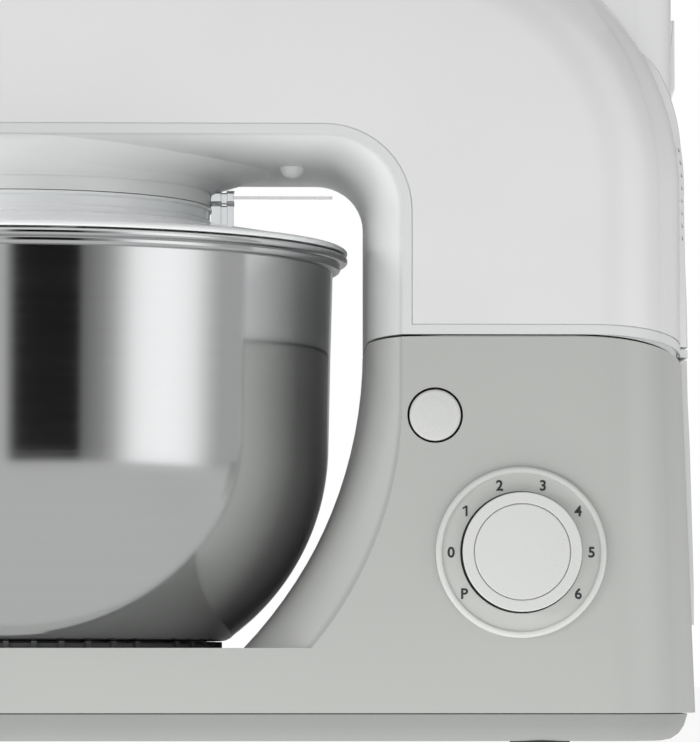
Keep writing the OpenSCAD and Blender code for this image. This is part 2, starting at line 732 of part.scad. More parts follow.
// Rotating drum under the head, with the sleeve of the tool shaft
module planet_hub() color([0.88, 0.88, 0.87]) translate([bowl_x, 0, 0]) difference() {
    union() {
        rotate_extrude() polygon([[0, hub_z], [hub_r - 9, hub_z], [hub_r - 3, hub_z + 1.6], [hub_r, hub_z + 5],
            [hub_r, hub_top], [0, hub_top]]);
        translate([-tool_e, 0, hub_z - 9]) cylinder(h = 12, r = tool_r + 5);
    }
    translate([0, 0, hub_z + 3]) cylinder(h = 40, r = main_r);
    translate([-tool_e, 0, hub_z - 12]) cylinder(h = 60, r = tool_r + fit_gap);
}

module tool_shaft() color([0.75, 0.76, 0.78]) translate([bowl_x - tool_e, 0, hub_z - 22])
    cylinder(h = ring_z + ring_h - 1 - hub_z + 22, r = tool_r);

module planet_pinion() color([0.85, 0.75, 0.5]) translate([bowl_x - tool_e, 0, ring_z + 0.6]) difference() {
    linear_extrude(ring_h - 1.6) rotate(180) gear_outline(pinion_teeth, gear_m, gear_m, 1.25 * gear_m);
    translate([0, 0, -1]) cylinder(h = 20, r = tool_r);
}

// Whisk: a ferrule on the tool shaft and wire loops in planes round the axis
module whisk_ferrule() color([0.8, 0.81, 0.82]) translate([bowl_x - tool_e, 0, 0]) difference() {
    translate([0, 0, hub_z - 34]) rotate_extrude() polygon([[0, 0], [8, 0], [9, 2], [9, 20], [7.5, 24], [0, 24]]);
    translate([0, 0, hub_z - 22]) cylinder(h = 30, r = tool_r);
}

function loop_half(r, z0, z1) = [for (t = [0:0.0625:1])
    [r * pow(sin(90 * t), 0.8) * sqrt(1 - pow(max(0, 2 * t - 1), 2.4)) + 5 * (1 - t),
     z0 + (z1 - z0) * (t < 0.5 ? t * 1.5 : 0.75 + 0.25 * sin(180 * (t - 0.5)))]];

module whisk_wires() color([0.8, 0.81, 0.82]) translate([bowl_x - tool_e, 0, 0])
    for (k = [0:whisk_loops - 1]) rotate(k * 180 / whisk_loops + 10) wire_loop(k);

module wire_loop(k) {
    half = loop_half(whisk_r, hub_z - 34.7, whisk_z + 2.6 * k);
    n = len(half);
    path = concat([for (p = half) [p[0], p[1]]], [for (i = [n - 2:-1:0]) [-half[i][0], half[i][1]]]);
    m = len(path);
    loft([for (i = [0:m - 1])
        let (a = path[max(0, i - 1)], b = path[min(m - 1, i + 1)], t = (b - a) / norm(b - a))
        [for (q = [0:60:300]) [path[i][0] + wire_r * cos(q) * t[1], wire_r * sin(q), path[i][1] - wire_r * cos(q) * t[0]]]]);
}

/* ---- motor ---- */

module motor_frame() color([0.3, 0.3, 0.32]) translate([motor_x, 0, 0]) difference() {
    union() {
        translate([0, 0, motor_z]) tube(motor_h, motor_r, motor_r - 2);
        translate([0, 0, motor_z]) cylinder(h = 3, r = motor_r);
        translate([0, 0, motor_z + motor_h - 3]) cylinder(h = 3, r = motor_r);
        for (z = [motor_z - 4, motor_z + motor_h - 3]) translate([0, 0, z]) cylinder(h = 7, r = 11);
        for (s = [-1, 1]) translate([-12, s * (motor_r - 4) - 4, floor_z]) cube([24, 8, motor_z + 3 - floor_z]);
    }
    translate([0, 0, motor_z - 10]) cylinder(h = motor_h + 30, r = motor_shaft_r + fit_gap);
    for (a = [0:45:315]) rotate(a) translate([motor_r - 11, 0, motor_z - 1]) cylinder(h = motor_h + 2, r = 4.5);
}

module stator() color([0.5, 0.5, 0.53]) translate([motor_x, 0, motor_z + 24]) difference() {
    cylinder(h = 30, r = motor_r - 2);
    translate([0, 0, -1]) cylinder(h = 32, r = rotor_r + 0.8);
    for (s = [0, 180]) rotate(s) translate([rotor_r + 4, -12, -1]) cube([5, 24, 32]);
}

module field_coils() color([0.72, 0.42, 0.22]) translate([motor_x, 0, motor_z + 24])
    for (s = [0, 180]) rotate(s) {
        translate([rotor_r + 4.2, -11.8, -4]) cube([4.6, 23.6, 38]);
    }

module armature() color([0.5, 0.5, 0.53]) translate([motor_x, 0, motor_z + 25]) difference() {
    cylinder(h = 28, r = rotor_r);
    for (a = [0:30:330]) rotate(a) translate([rotor_r - 5, -1, -1]) cube([8, 2, 30]);
    translate([0, 0, -1]) cylinder(h = 30, r = motor_shaft_r);
}

module commutator() color([0.75, 0.5, 0.3]) translate([motor_x, 0, motor_z + 10]) tube(12, 10, motor_shaft_r);

module brushes() color([0.2, 0.2, 0.2]) translate([motor_x, 0, motor_z + 12])
    for (s = [0, 180]) rotate(s) translate([10.4, -3, 0]) cube([motor_r - 2 - 10.4 - 0.3, 6, 8]);

module fan() color([0.2, 0.2, 0.21]) translate([motor_x, 0, motor_z + 57]) {
    tube(2, 25, motor_shaft_r);
    tube(8, 8, motor_shaft_r);
    for (a = [0:40:320]) rotate(a) translate([7.5, -0.8, 1]) cube([17, 1.6, 7]);
}

module motor_shaft() color([0.7, 0.71, 0.73]) translate([motor_x, 0, motor_z - 4])
    cylinder(h = dog_z - motor_z + 8, r = motor_shaft_r);

module motor_pulley() color([0.7, 0.71, 0.73]) translate([motor_x, 0, pulley_z]) difference() {
    union() {
        cylinder(h = pulley_h, r = small_r);
        for (z = [0, pulley_h - 1.4]) translate([0, 0, z]) cylinder(h = 1.4, r = small_r + 2);
    }
    translate([0, 0, -1]) cylinder(h = pulley_h + 2, r = motor_shaft_r);
}

module drive_belt() color([0.12, 0.12, 0.12]) translate([0, 0, pulley_z + 2]) linear_extrude(pulley_h - 4)
    difference() {
        belt_loop(2.2);
        belt_loop(0.3);
    }

module belt_loop(o) {
    hull() {
        translate([bowl_x, 0]) circle(big_r + o);
        translate([motor_x, 0]) circle(small_r + o);
    }
}

/* ---- rear drive and jar ---- */

// White tower on the shoulder of the head, trimmed to its curve, with the seat of the jar
module drive_tower() color([0.94, 0.94, 0.93]) difference() {
    union() {
        difference() {
            tower_cone(0);
            tower_cone(wall);
            head_form(-0.12);
        }
        translate([motor_x, 0, dog_z - 2]) tube(3, socket_r, 14);
        translate([motor_x, 0, tower_top - 12]) tube(3, tower_r - wall - 1.5, 14);
        translate([motor_x, 0, pulley_z + pulley_h + 6]) tube(tower_top - 9 - pulley_z - pulley_h - 6, 17, 14);
    }
}

module tower_cone(o) {
    low = shoulder_z + 20;
    translate([motor_x, 0, low]) rotate_extrude() polygon([[0, -o], [tower_r - o, -o],
        [tower_r - 2.6 - o, tower_top - low + o], [0, tower_top - low + o]]);
}

// Three claws of a dog clutch: radius r, height h, turned by a
module claws(r, h, a) {
    for (k = [0:2]) rotate(a + 120 * k) linear_extrude(h)
        polygon(concat([for (q = [-24:8:24]) [r * cos(q), r * sin(q)]],
            [for (q = [24:-12:-24]) [r * 0.5 * cos(q), r * 0.5 * sin(q)]]));
}

module drive_dog() color([0.2, 0.2, 0.21]) translate([motor_x, 0, dog_z + 2]) difference() {
    union() {
        cylinder(h = 5, r = 11);
        translate([0, 0, 4.9]) claws(10.4, 4.6, 0);
    }
    translate([0, 0, -1]) cylinder(h = 3, r = motor_shaft_r);
}

module driven_dog() color([0.2, 0.2, 0.21]) translate([motor_x, 0, dog_z + 7.6]) difference() {
    union() {
        translate([0, 0, 4.6]) cylinder(h = 4, r = 11);
        claws(10.4, 4.7, 60);
    }
    translate([0, 0, 4.4]) cylinder(h = 6, r = 4 + fit_gap);
}

module jar_collar() color([0.94, 0.94, 0.93]) translate([motor_x, 0, tower_top]) difference() {
    rotate_extrude() polygon([[0, -6], [tower_r - 8, -6], [tower_r - 8, 0.4], [tower_r - 2.6, 0.4],
        [tower_r - 3.6, 26], [tower_r - 6, 28], [0, 28]]);
    translate([0, 0, 6]) cylinder(h = 40, r = jar_r - 8 + 0.4);
    translate([0, 0, -7]) cylinder(h = 10, r = tower_r - 20);
    translate([0, 0, 0]) cylinder(h = 20, r = 4 + fit_gap);
}

module jar_gasket() color([0.75, 0.3, 0.25]) translate([motor_x, 0, tower_top + 6])
    tube(2, jar_r - 8.2, jar_r - 16);

// Jar with a handle on its side
module jar_glass() color([0.85, 0.9, 0.92, 0.35]) translate([motor_x, 0, tower_top + 8]) difference() {
    union() {
        rotate_extrude() polygon([[jar_r - 16, 0], [jar_r - 8, 0], [jar_r - 8, 14], [jar_r, jar_h],
            [jar_r - jar_t, jar_h], [jar_r - 8 - jar_t, 14], [jar_r - 8 - jar_t, 6], [jar_r - 16, 4]]);
        difference() {
            translate([0, -jar_r + 6, 0]) rotate([90, 0, 90]) linear_extrude(16, center = true) difference() {
                polygon([[0, 40], [-34, 50], [-38, 62], [-38, 112], [-32, 126], [0, 134]]);
                polygon([[8, 54], [-22, 60], [-26, 68], [-26, 106], [-22, 114], [8, 120]]);
            }
            cylinder(h = jar_h, r1 = jar_r - 9 - jar_t / 2, r2 = jar_r - jar_t / 2);
        }
    }
}

module blade_unit() color([0.78, 0.79, 0.81]) translate([motor_x, 0, 0]) {
    translate([0, 0, dog_z + 12]) cylinder(h = tower_top + 15 - dog_z - 12, r = 4);
    translate([0, 0, tower_top + 14.5]) cylinder(h = 12, r = 6.5);
    for (a = [0:90:270]) rotate(a) translate([4.6, 0, tower_top + (a % 180 == 0 ? 18 : 22)])
        rotate([0, a % 180 == 0 ? 10 : -14, 0]) linear_extrude(1.4)
            polygon([[0, -4.2], [20, -2.5], [23, 3], [0, 4.2]]);
}

module jar_lid() color([0.2, 0.2, 0.21]) translate([motor_x, 0, tower_top + 8 + jar_h]) difference() {
    rotate_extrude() polygon([[0, -8], [jar_r - jar_t - 0.6, -8], [jar_r - jar_t - 0.6, 0.4], [jar_r + 2, 0.4],
        [jar_r + 2, 8], [jar_r - 4, 12], [0, 13]]);
    translate([0, 0, -9]) cylinder(h = 9, r = jar_r - jar_t - 5);
    translate([0, 0, -9]) cylinder(h = 30, r = cap_hole_r);
}

module jar_cap() color([0.85, 0.9, 0.92, 0.5]) translate([motor_x, 0, tower_top + 8 + jar_h + 13.3])
    difference() {
        rotate_extrude() polygon([[0, -16], [cap_hole_r - 1.4, -16], [cap_hole_r - 0.6, 0], [cap_hole_r + 4, 0],
            [cap_hole_r + 4, 4], [cap_hole_r + 1, 7], [0, 7]]);
        translate([0, 0, -17]) cylinder(h = 20, r = cap_hole_r - 4);
    }

/* ---- bowl ---- */

function bowl_curve(o) = concat(
    arc([28.5, rim_z - 71.5], rim_r - 35.8 - o, -53.2, 0, 16),
    [[rim_r - 5.7 - o, rim_z - 4]]);

module mixing_bowl() color([0.78, 0.79, 0.8]) translate([bowl_x, 0, 0]) rotate_extrude()
    polygon(concat(
        [[0, bowl_base_z], [bowl_foot_r, bowl_base_z]],
        bowl_curve(0),
        [[rim_r - 4.6, rim_z - 5.2], [rim_r - 3, rim_z - 5], [rim_r - 2.4, rim_z - 3], [rim_r - 0.6, rim_z - 2.4],
         [rim_r, rim_z - 1.2], [rim_r - 0.6, rim_z], [rim_r - 6.4, rim_z]],
        [for (i = [17:-1:0]) bowl_curve(bowl_t)[i]],
        [[bowl_foot_r - 2, bowl_base_z + bowl_t + 1.4], [0, bowl_base_z + bowl_t]]));

body_casing();
base_plate();
feet();
base_screws();
bowl_seat();
column_cover();
hinge_bracket();
hinge_pin();
cord_gland();
speed_switch();
control_board();
dial_bezel();
button_guide();
button_spring();
dial_knob();
dial_cap();
dial_shaft();
release_button();
latch_bar();
arm_shell();
arm_frame();
striker();
splash_guard();
guard_ring();
guard_clip();
gear_housing();
ring_gear();
bearings();
motor_frame();
stator();
field_coils();
brushes();
drive_belt();
drive_tower();
main_shaft();
drive_pulley();
planet_hub();
tool_shaft();
planet_pinion();
whisk_ferrule();
whisk_wires();
motor_shaft();
armature();
commutator();
fan();
motor_pulley();
drive_dog();
driven_dog();
blade_unit();
jar_collar();
jar_gasket();
jar_glass();
jar_lid();
jar_cap();
mixing_bowl();
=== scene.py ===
# %% [markdown]
# # A stand mixer, dressed in Blender
# The CAD model gives every part its place and its size. This lesson loads it as a fixed frame, gives each
# part a finish made from nodes, and adds the fine pieces that a CAD solid does not carry, such as the marks
# of the dial. Lengths are in metres, X runs from the bowl to the column, and the dial's side looks along -Y.

# %% Load the frame
import json
import bmesh
import bpy
import numpy as np
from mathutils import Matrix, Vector


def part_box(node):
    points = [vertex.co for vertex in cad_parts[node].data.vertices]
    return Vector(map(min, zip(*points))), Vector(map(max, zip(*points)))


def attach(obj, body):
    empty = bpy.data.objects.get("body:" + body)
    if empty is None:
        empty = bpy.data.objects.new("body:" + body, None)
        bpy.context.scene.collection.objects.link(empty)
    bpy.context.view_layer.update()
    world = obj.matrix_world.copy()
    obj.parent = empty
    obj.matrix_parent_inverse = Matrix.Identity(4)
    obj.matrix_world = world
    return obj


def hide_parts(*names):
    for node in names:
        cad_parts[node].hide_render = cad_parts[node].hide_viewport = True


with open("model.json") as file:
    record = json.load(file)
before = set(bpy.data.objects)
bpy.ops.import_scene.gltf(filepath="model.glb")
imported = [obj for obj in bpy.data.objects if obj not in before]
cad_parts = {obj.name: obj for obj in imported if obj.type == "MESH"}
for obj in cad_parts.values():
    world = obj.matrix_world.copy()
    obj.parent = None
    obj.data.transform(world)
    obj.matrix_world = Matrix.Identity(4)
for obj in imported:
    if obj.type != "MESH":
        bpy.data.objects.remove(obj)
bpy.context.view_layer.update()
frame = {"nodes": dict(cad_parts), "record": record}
nodes = frame["nodes"]

# %% [markdown]
# ## Places read from the frame
# The main places and sizes come from the boxes of the CAD nodes, so that a piece lies where its node lies.
# Only the finer measures, such as a lip or a bead, are written as numbers where they are used.


# %% Axes and levels
def centre(node):
    """Middle of a node's box: half of the sum of its two corners."""
    low, high = np.array(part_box(node))
    return (low + high) / 2


bowl_x = centre("main_shaft")[0]
motor_x = centre("motor_shaft")[0]
dial_at = centre("dial_knob")
button_at = centre("release_button")
rim_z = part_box("mixing_bowl")[1][2]
side_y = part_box("body_casing")[0][1]
print("bowl axis %.3f, drive axis %.3f, rim at %.4f" % (bowl_x, motor_x, rim_z))

# %% [markdown]
# ## Writing shader maths as plain expressions
# A node tree is easier to read as a sum than as a picture. `Wire` wraps one socket, so `1 - mask * 0.3` adds
# the Math nodes by itself. `Board` holds the tree of one finish and makes any other node with one method.


# %% Wires and boards
class Wire:
    """A socket that takes part in Python sums; each operator adds one Math node."""

    def __init__(self, board, socket):
        self.board, self.socket = board, socket

    def math(self, operation, *others):
        """One Math node with this socket first and the other wires or numbers after it."""
        return self.board.add("ShaderNodeMath", {"operation": operation}, dict(enumerate((self,) + others)))

    def __add__(self, other): return self.math("ADD", other)
    __radd__ = __add__
    def __mul__(self, other): return self.math("MULTIPLY", other)
    __rmul__ = __mul__
    def __sub__(self, other): return self.math("SUBTRACT", other)
    def __rsub__(self, other): return self.board.wire(other).math("SUBTRACT", self)
    def __pow__(self, other): return self.math("POWER", other)
    def __abs__(self): return self.math("ABSOLUTE")

    def ramp(self, low, high):
        """Smooth step from 0 at low to 1 at high: 3 t^2 - 2 t^3, level beyond both ends."""
        return self.board.add("ShaderNodeMapRange", {"interpolation_type": "SMOOTHSTEP"},
                              {0: self, 1: low, 2: high, 3: 0.0, 4: 1.0})


class Board:
    """The node tree of one finish."""

    def __init__(self, name):
        self.material = bpy.data.materials.new(name)
        self.material.use_nodes = True
        self.tree = self.material.node_tree
        self.shader = self.tree.nodes["Principled BSDF"]

    def feed(self, socket, value):
        """Links a wire to a socket, or sets the socket to a plain value."""
        if isinstance(value, Wire):
            self.tree.links.new(value.socket, socket)
        else:
            socket.default_value = value

    def add(self, kind, settings=None, inputs=None, output=0):
        """Adds a node: its settings first, then the values or wires of its sockets."""
        node = self.tree.nodes.new(kind)
        for key, value in (settings or {}).items():
            setattr(node, key, value)
        for key, value in (inputs or {}).items():
            self.feed(node.inputs[key], value)
        return Wire(self, node.outputs[output])

    def wire(self, number):
        """A number as a wire, so that a sum may start with it."""
        return self.add("ShaderNodeMath", {"operation": "ADD"}, {0: float(number), 1: 0.0})

    def place(self):
        """Object coordinates, in metres."""
        return self.add("ShaderNodeTexCoord", output="Object")

    def axes(self, vector):
        """The x, y and z of a vector."""
        node = self.add("ShaderNodeSeparateXYZ", {}, {0: vector}).socket.node
        return [Wire(self, node.outputs[i]) for i in range(3)]

    def join(self, x, y, z):
        """A vector from three numbers or wires."""
        return self.add("ShaderNodeCombineXYZ", {}, {0: x, 1: y, 2: z})

    def noise(self, vector, scale, detail=2.0, roughness=0.5):
        """Fractal noise between 0 and 1; its features are 1 / scale metres wide."""
        return self.add("ShaderNodeTexNoise", {}, {"Vector": vector, "Scale": scale, "Detail": detail,
                                                   "Roughness": roughness})

    def mix(self, factor, a, b):
        """Colour a (1 - factor) + b factor."""
        return self.add("ShaderNodeMix", {"data_type": "RGBA"}, {0: factor, 6: a, 7: b}, output=2)

    def set(self, **values):
        """Sets inputs of the Principled shader by name, with _ for each space."""
        for key, value in values.items():
            self.feed(self.shader.inputs[key.replace("_", " ")], value)

    def bump(self, height, distance):
        """Relief: a height of 1 stands the given distance proud."""
        relief = self.add("ShaderNodeBump", {}, {"Strength": 1.0, "Distance": distance, "Height": height})
        self.set(Normal=relief)


def rgb(value, g=None, b=None):
    """An opaque colour; one value alone is a grey."""
    return (value, value if g is None else g, value if b is None else b, 1.0)


print("node helpers:", [name for name in vars(Board) if name[0] != "_"])

# %% [markdown]
# ## Moulded plastics
# Each shell of the machine is injection moulded. A gloss moulding still has a faint waviness, and a satin one
# has a fine spark-eroded grain. Both are noise on Object coordinates, in millimetre sizes, which feeds
# roughness and bump.

# %% Plastics
finishes = {}


def moulded(name, colour, rough, grain, depth, wave=0.0, coat=0.0):
    """Roughness = rough + small noise; height = fine grain of the given size plus long waves.

    The colour drops by two hundredths in broad clouds."""
    board = Board(name)
    board.colour = rgb(*colour)
    place = board.place()
    fine = board.noise(place, 1.0 / grain, 3.0)
    broad = board.noise(place, 14.0, 2.0)
    shade = board.mix(broad.ramp(0.35, 0.65), rgb(*[c * 0.98 for c in colour]), board.colour)
    board.set(Base_Color=shade, Roughness=(fine - 0.5) * 0.10 + (broad - 0.5) * 0.06 + rough,
              Coat_Weight=coat, Coat_Roughness=0.06, IOR=1.5)
    board.bump(fine + broad * wave, depth)
    finishes[name] = board
    return board


moulded("white_gloss", (0.745, 0.747, 0.745), 0.24, 0.0012, 0.00001, wave=4.0, coat=0.5)
# The tower's white is the head's white made paler: painted light, as the tower takes less light than the head
moulded("tower_white", (0.85, 0.855, 0.855), 0.24, 0.0012, 0.00001, wave=4.0, coat=0.5)
moulded("frame_white", (0.67, 0.682, 0.682), 0.36, 0.0006, 0.00002, coat=0.15)
moulded("grey_casing", (0.45, 0.46, 0.442), 0.34, 0.0006, 0.00002, coat=0.15)
moulded("plinth_grey", (0.29, 0.30, 0.287), 0.42, 0.0006, 0.00003)
moulded("dial_cap_grey", (0.625, 0.635, 0.62), 0.28, 0.0005, 0.00002)
moulded("dial_ring_grey", (0.55, 0.563, 0.54), 0.2, 0.0005, 0.00001, coat=0.6)
# The next grey is painted paler for the back's raised field on the casing: a painted highlight
moulded("rear_painted_highlight", (0.60, 0.61, 0.605), 0.30, 0.0006, 0.00002, coat=0.3)
# The grey of the slot floors is painted shade, for the dark inside behind the air slots
moulded("slot_grey", (0.36, 0.365, 0.36), 0.5, 0.0007, 0.00002)
moulded("inner_dark", (0.035, 0.035, 0.037), 0.5, 0.0007, 0.00004)
moulded("seat_dark", (0.066, 0.067, 0.068), 0.6, 0.0006, 0.00005)
moulded("board_green", (0.02, 0.12, 0.05), 0.4, 0.0010, 0.00003)
moulded("carbon_black", (0.02, 0.02, 0.02), 0.7, 0.0004, 0.00003)
moulded("foot_rubber", (0.03, 0.03, 0.03), 0.75, 0.0005, 0.00004)
moulded("gasket_red", (0.32, 0.05, 0.04), 0.55, 0.0005, 0.00003)
moulded("ink", (0.030, 0.033, 0.036), 0.5, 0.0004, 0.00001)
print("plastics:", len(finishes))

# %% [markdown]
# ## Painted light in the throat, and a paler rim on the dial
# The frame and the casing are painted paler inside the throat than on their side faces: painted light that
# stands in for a brighter fill on the throat and the underside. The dial's ring is paler on its raised rim.
# Each is a mix of two colours along a smooth step, in the place or in the distance from the dial's axis.

# %% Painted light in the throat, and the dial's rim
# The throat starts 0.6 to 2.6 mm behind the side face, and ends towards the rear between x = 130 and 150 mm
for name, inner in (("frame_white", (0.78, 0.79, 0.788)), ("grey_casing", (0.575, 0.585, 0.565))):
    board = finishes[name]
    x, y, z = board.axes(board.place())
    # Inside the throat the colour is painted paler: painted light for the fill that the throat and the
    # underside catch
    painted_throat_light = abs(y).ramp(-side_y - 0.0006, -side_y - 0.0026) * x.ramp(0.15, 0.13)
    board.set(Base_Color=board.mix(painted_throat_light, board.colour, rgb(*inner)))
board = finishes["dial_ring_grey"]
x, y, z = board.axes(board.place())
from_middle = ((x - dial_at[0]) * (x - dial_at[0]) + (z - dial_at[2]) * (z - dial_at[2])) ** 0.5
board.set(Base_Color=board.mix(from_middle.ramp(0.0282, 0.0288), board.colour, rgb(0.63, 0.642, 0.62)))
print("frame, casing and ring have two colours each")

# %% [markdown]
# ## Metals
# Spun and brushed steel carries fine scratches round its axis. In Object coordinates the radius and the
# height stay fixed along such a scratch, so noise read at (radius, height) draws rings with no UV map.


# %% Steels and alloys
def metal(name, colour, rough, brushed=False, depth=0.000004, grain=0.0004):
    """Brushed: noise squeezed 150 times along z, so that it draws level streaks; otherwise a plain grain."""
    board = Board(name)
    place = board.place()
    cloud = board.noise(place, 22.0, 3.0)
    if brushed:
        x, y, z = board.axes(place)
        lines = board.noise(board.join(x * 24.0, y * 24.0, z * 3600.0), 1.0, 3.0, 0.65)
        broad = board.noise(board.join(x * 9.0, y * 9.0, z * 260.0), 1.0, 2.0)
        spread = (lines - 0.5) * 0.10 + (broad - 0.5) * 0.06 + (cloud - 0.5) * 0.04
        shade = (lines - 0.5) * 0.35 + (broad - 0.5) * 0.25 + 0.5
    else:
        lines = board.noise(place, 1.0 / grain, 3.0)
        spread = (lines - 0.5) * 0.18 + (cloud - 0.5) * 0.05
        shade = cloud.ramp(0.3, 0.7)
    board.set(Base_Color=board.mix(shade, rgb(*[c * 0.88 for c in colour]), rgb(*colour)), Metallic=1.0,
              Roughness=spread + rough)
    board.bump(lines, depth)
    finishes[name] = board
    return board


bowl_steel = metal("bowl_steel", (0.64, 0.645, 0.65), 0.13, brushed=True, depth=0.000002)
bowl_steel.set(Anisotropic=0.6, Anisotropic_Rotation=0.25)
metal("bright_steel", (0.66, 0.66, 0.66), 0.24)
metal("zinc_steel", (0.56, 0.57, 0.59), 0.34)
metal("stack_steel", (0.33, 0.33, 0.35), 0.45)
metal("cast_alloy", (0.58, 0.59, 0.60), 0.42, grain=0.0012, depth=0.00002)
metal("brass_gear", (0.70, 0.52, 0.24), 0.3)
metal("copper_wire", (0.62, 0.28, 0.13), 0.35)
print("finishes so far:", len(finishes))

# %% [markdown]
# ## Clear parts
# The jar's glass and the guard's clip are clear. The splash guard is a milky plastic that lets little light
# straight through, and the clip's thin arm is also partly see-through. Transmission, alpha and IOR are
# constants on the shader; only a faint smear of handling varies the roughness.


# %% Clear plastic and glass
def clear(name, colour, rough, ior):
    """Roughness = rough + faint smears."""
    board = Board(name)
    smear = board.noise(board.place(), 40.0, 4.0)
    board.set(Base_Color=rgb(*colour), Roughness=smear.ramp(0.4, 0.8) * 0.05 + rough,
              Transmission_Weight=1.0, IOR=ior)
    finishes[name] = board
    return board


clear("clear_plastic", (0.96, 0.975, 0.98), 0.10, 1.49).set(Transmission_Weight=0.1)
clear("jar_clear", (0.94, 0.97, 0.97), 0.01, 1.5)
clear("clip_clear", (0.66, 0.68, 0.69), 0.04, 1.49)
clear("arm_clear", (0.97, 0.98, 0.985), 0.05, 1.49).set(Transmission_Weight=0.1, Alpha=0.3)
print("all finishes:", sorted(finishes))

# %% [markdown]
# ## Finishes on the CAD nodes
# A node comes as loose flat triangles. Its mesh is not touched: a chain of modifiers welds it, marks the
# edges that are really sharp, and weights its normals by area, so that a long flat face stays flat next to
# its round edge.


# %% Smooth shading by a small node group
def smooth_group(limit):
    """Faces are smooth; an edge is sharp where its two faces meet at more than the limit."""
    group = bpy.data.node_groups.new("smooth_by_edge", "GeometryNodeTree")
    group.interface.new_socket("Geometry", in_out="INPUT", socket_type="NodeSocketGeometry")
    group.interface.new_socket("Geometry", in_out="OUTPUT", socket_type="NodeSocketGeometry")
    new, link = group.nodes.new, group.links.new
    start, end = new("NodeGroupInput"), new("NodeGroupOutput")
    weld = new("GeometryNodeMergeByDistance")
    weld.inputs["Distance"].default_value = 0.000004
    angle, compare = new("GeometryNodeInputMeshEdgeAngle"), new("FunctionNodeCompare")
    compare.operation = "LESS_EQUAL"
    compare.inputs[1].default_value = np.radians(limit)
    faces, edges = new("GeometryNodeSetShadeSmooth"), new("GeometryNodeSetShadeSmooth")
    edges.domain = "EDGE"
    link(start.outputs[0], weld.inputs[0])
    link(weld.outputs[0], faces.inputs[0])
    link(faces.outputs[0], edges.inputs[0])
    link(angle.outputs[0], compare.inputs[0])
    link(compare.outputs[0], edges.inputs["Shade Smooth"])
    link(edges.outputs[0], end.inputs[0])
    return group


smooth = smooth_group(28)


def shade(piece):
    """Adds the two modifiers that make a piece's shading smooth."""
    piece.modifiers.new("smooth", "NODES").node_group = smooth
    weight = piece.modifiers.new("weight", "WEIGHTED_NORMAL")
    weight.keep_sharp, weight.weight = True, 80


slots = {part["node"]: part["material_slot"] for part in frame["record"]["subparts"]}
for name, node in nodes.items():
    node.data.materials.clear()
    node.data.materials.append(finishes[slots[name]].material)
    shade(node)
print("nodes with a finish:", len(nodes))

# %% [markdown]
# ## Turned, swept and extruded surfaces
# Most fine pieces here are turned: an outline of radius and height is carried round an axis. Wires and
# handles are a round or oval section carried along a path, and brackets are a flat outline pulled straight.
# Three functions make all of them from whole arrays, and one more puts an array into a mesh.


# %% Outlines and meshes
MM = 0.001


def eased(corners, radius, steps=7, closed=True):
    """Rounds an outline's corners: P between A and B becomes (1-t)^2 A + 2t(1-t) P + t^2 B, t from 0 to 1.

    A and B lie on the two sides of P, at most the radius and half of the side away from it. The ends of an
    open outline stay where they are and come once, as a sweep has no direction along a repeated point."""
    p = np.asarray(corners, float)
    radius = np.broadcast_to(np.asarray(radius, float), len(p))

    def toward(other):
        side = other - p
        length = np.linalg.norm(side, axis=1)
        return p + side * (np.minimum(radius, length * 0.5) / np.maximum(length, 1e-9))[:, None]

    a, b = toward(np.roll(p, 1, 0)), toward(np.roll(p, -1, 0))
    if not closed:
        a[0] = b[0] = p[0]
        a[-1] = b[-1] = p[-1]
    t = np.linspace(0, 1, steps)[None, :, None]
    curved = (1 - t) ** 2 * a[:, None] + 2 * t * (1 - t) * p[:, None] + t ** 2 * b[:, None]
    curved = curved.reshape(-1, p.shape[1])
    return curved if closed else curved[steps - 1:1 - steps]


def grid(rows, columns, wrap):
    """Quads between the points (i, j) of a grid; columns always wrap round, rows only where wrap is true."""
    i, j = np.meshgrid(np.arange(rows if wrap else rows - 1), np.arange(columns), indexing="ij")
    k, l = (i + 1) % rows, (j + 1) % columns
    return np.stack([i * columns + j, i * columns + l, k * columns + l, k * columns + j], -1).reshape(-1, 4)


def linked(name, data):
    """A new object in the scene."""
    piece = bpy.data.objects.new(name, data)
    bpy.context.scene.collection.objects.link(piece)
    return piece


def build(name, points, faces, finish, body, slot, replaced=()):
    """Makes a mesh, merges its repeated points, turns its faces outwards and lets it ride on a body."""
    mesh = bpy.data.meshes.new(name)
    mesh.from_pydata(np.asarray(points).reshape(-1, 3).tolist(), [], [list(face) for face in faces])
    work = bmesh.new()
    work.from_mesh(mesh)
    bmesh.ops.remove_doubles(work, verts=work.verts, dist=1e-7)
    bmesh.ops.recalc_face_normals(work, faces=work.faces)
    # On a thin ring Blender may take the inner side for the outer one, which a negative volume shows
    if work.calc_volume(signed=True) < 0:
        bmesh.ops.reverse_faces(work, faces=work.faces)
    work.to_mesh(mesh)
    work.free()
    mesh.materials.append(finishes[finish].material)
    piece = linked(name, mesh)
    shade(piece)
    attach(piece, body)
    if replaced:
        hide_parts(*replaced)
    print("%s: %d faces" % (name, len(mesh.polygons)))
    return piece


def turned(outline, middle, axis, turns=160, wrap=False):
    """Points and quads: (r, h) goes to middle + h axis + r (cos(a) u + sin(a) v), for a all round.

    An open outline starts and ends on the axis, and a ring's outline wraps."""
    axis, middle = np.array(axis, float), np.array(middle, float)
    u = np.cross(axis, (0.0, 0.6, 0.8) if abs(axis[0]) > 0.5 else (1.0, 0.0, 0.0))
    u /= np.linalg.norm(u)
    v = np.cross(axis, u)
    a = np.linspace(0, 2 * np.pi, turns, endpoint=False)
    spoke = np.cos(a)[None, :, None] * u + np.sin(a)[None, :, None] * v
    r, h = np.asarray(outline).T
    points = middle + h[:, None, None] * axis + r[:, None, None] * spoke
    return points.reshape(-1, 3), grid(len(r), turns, wrap)


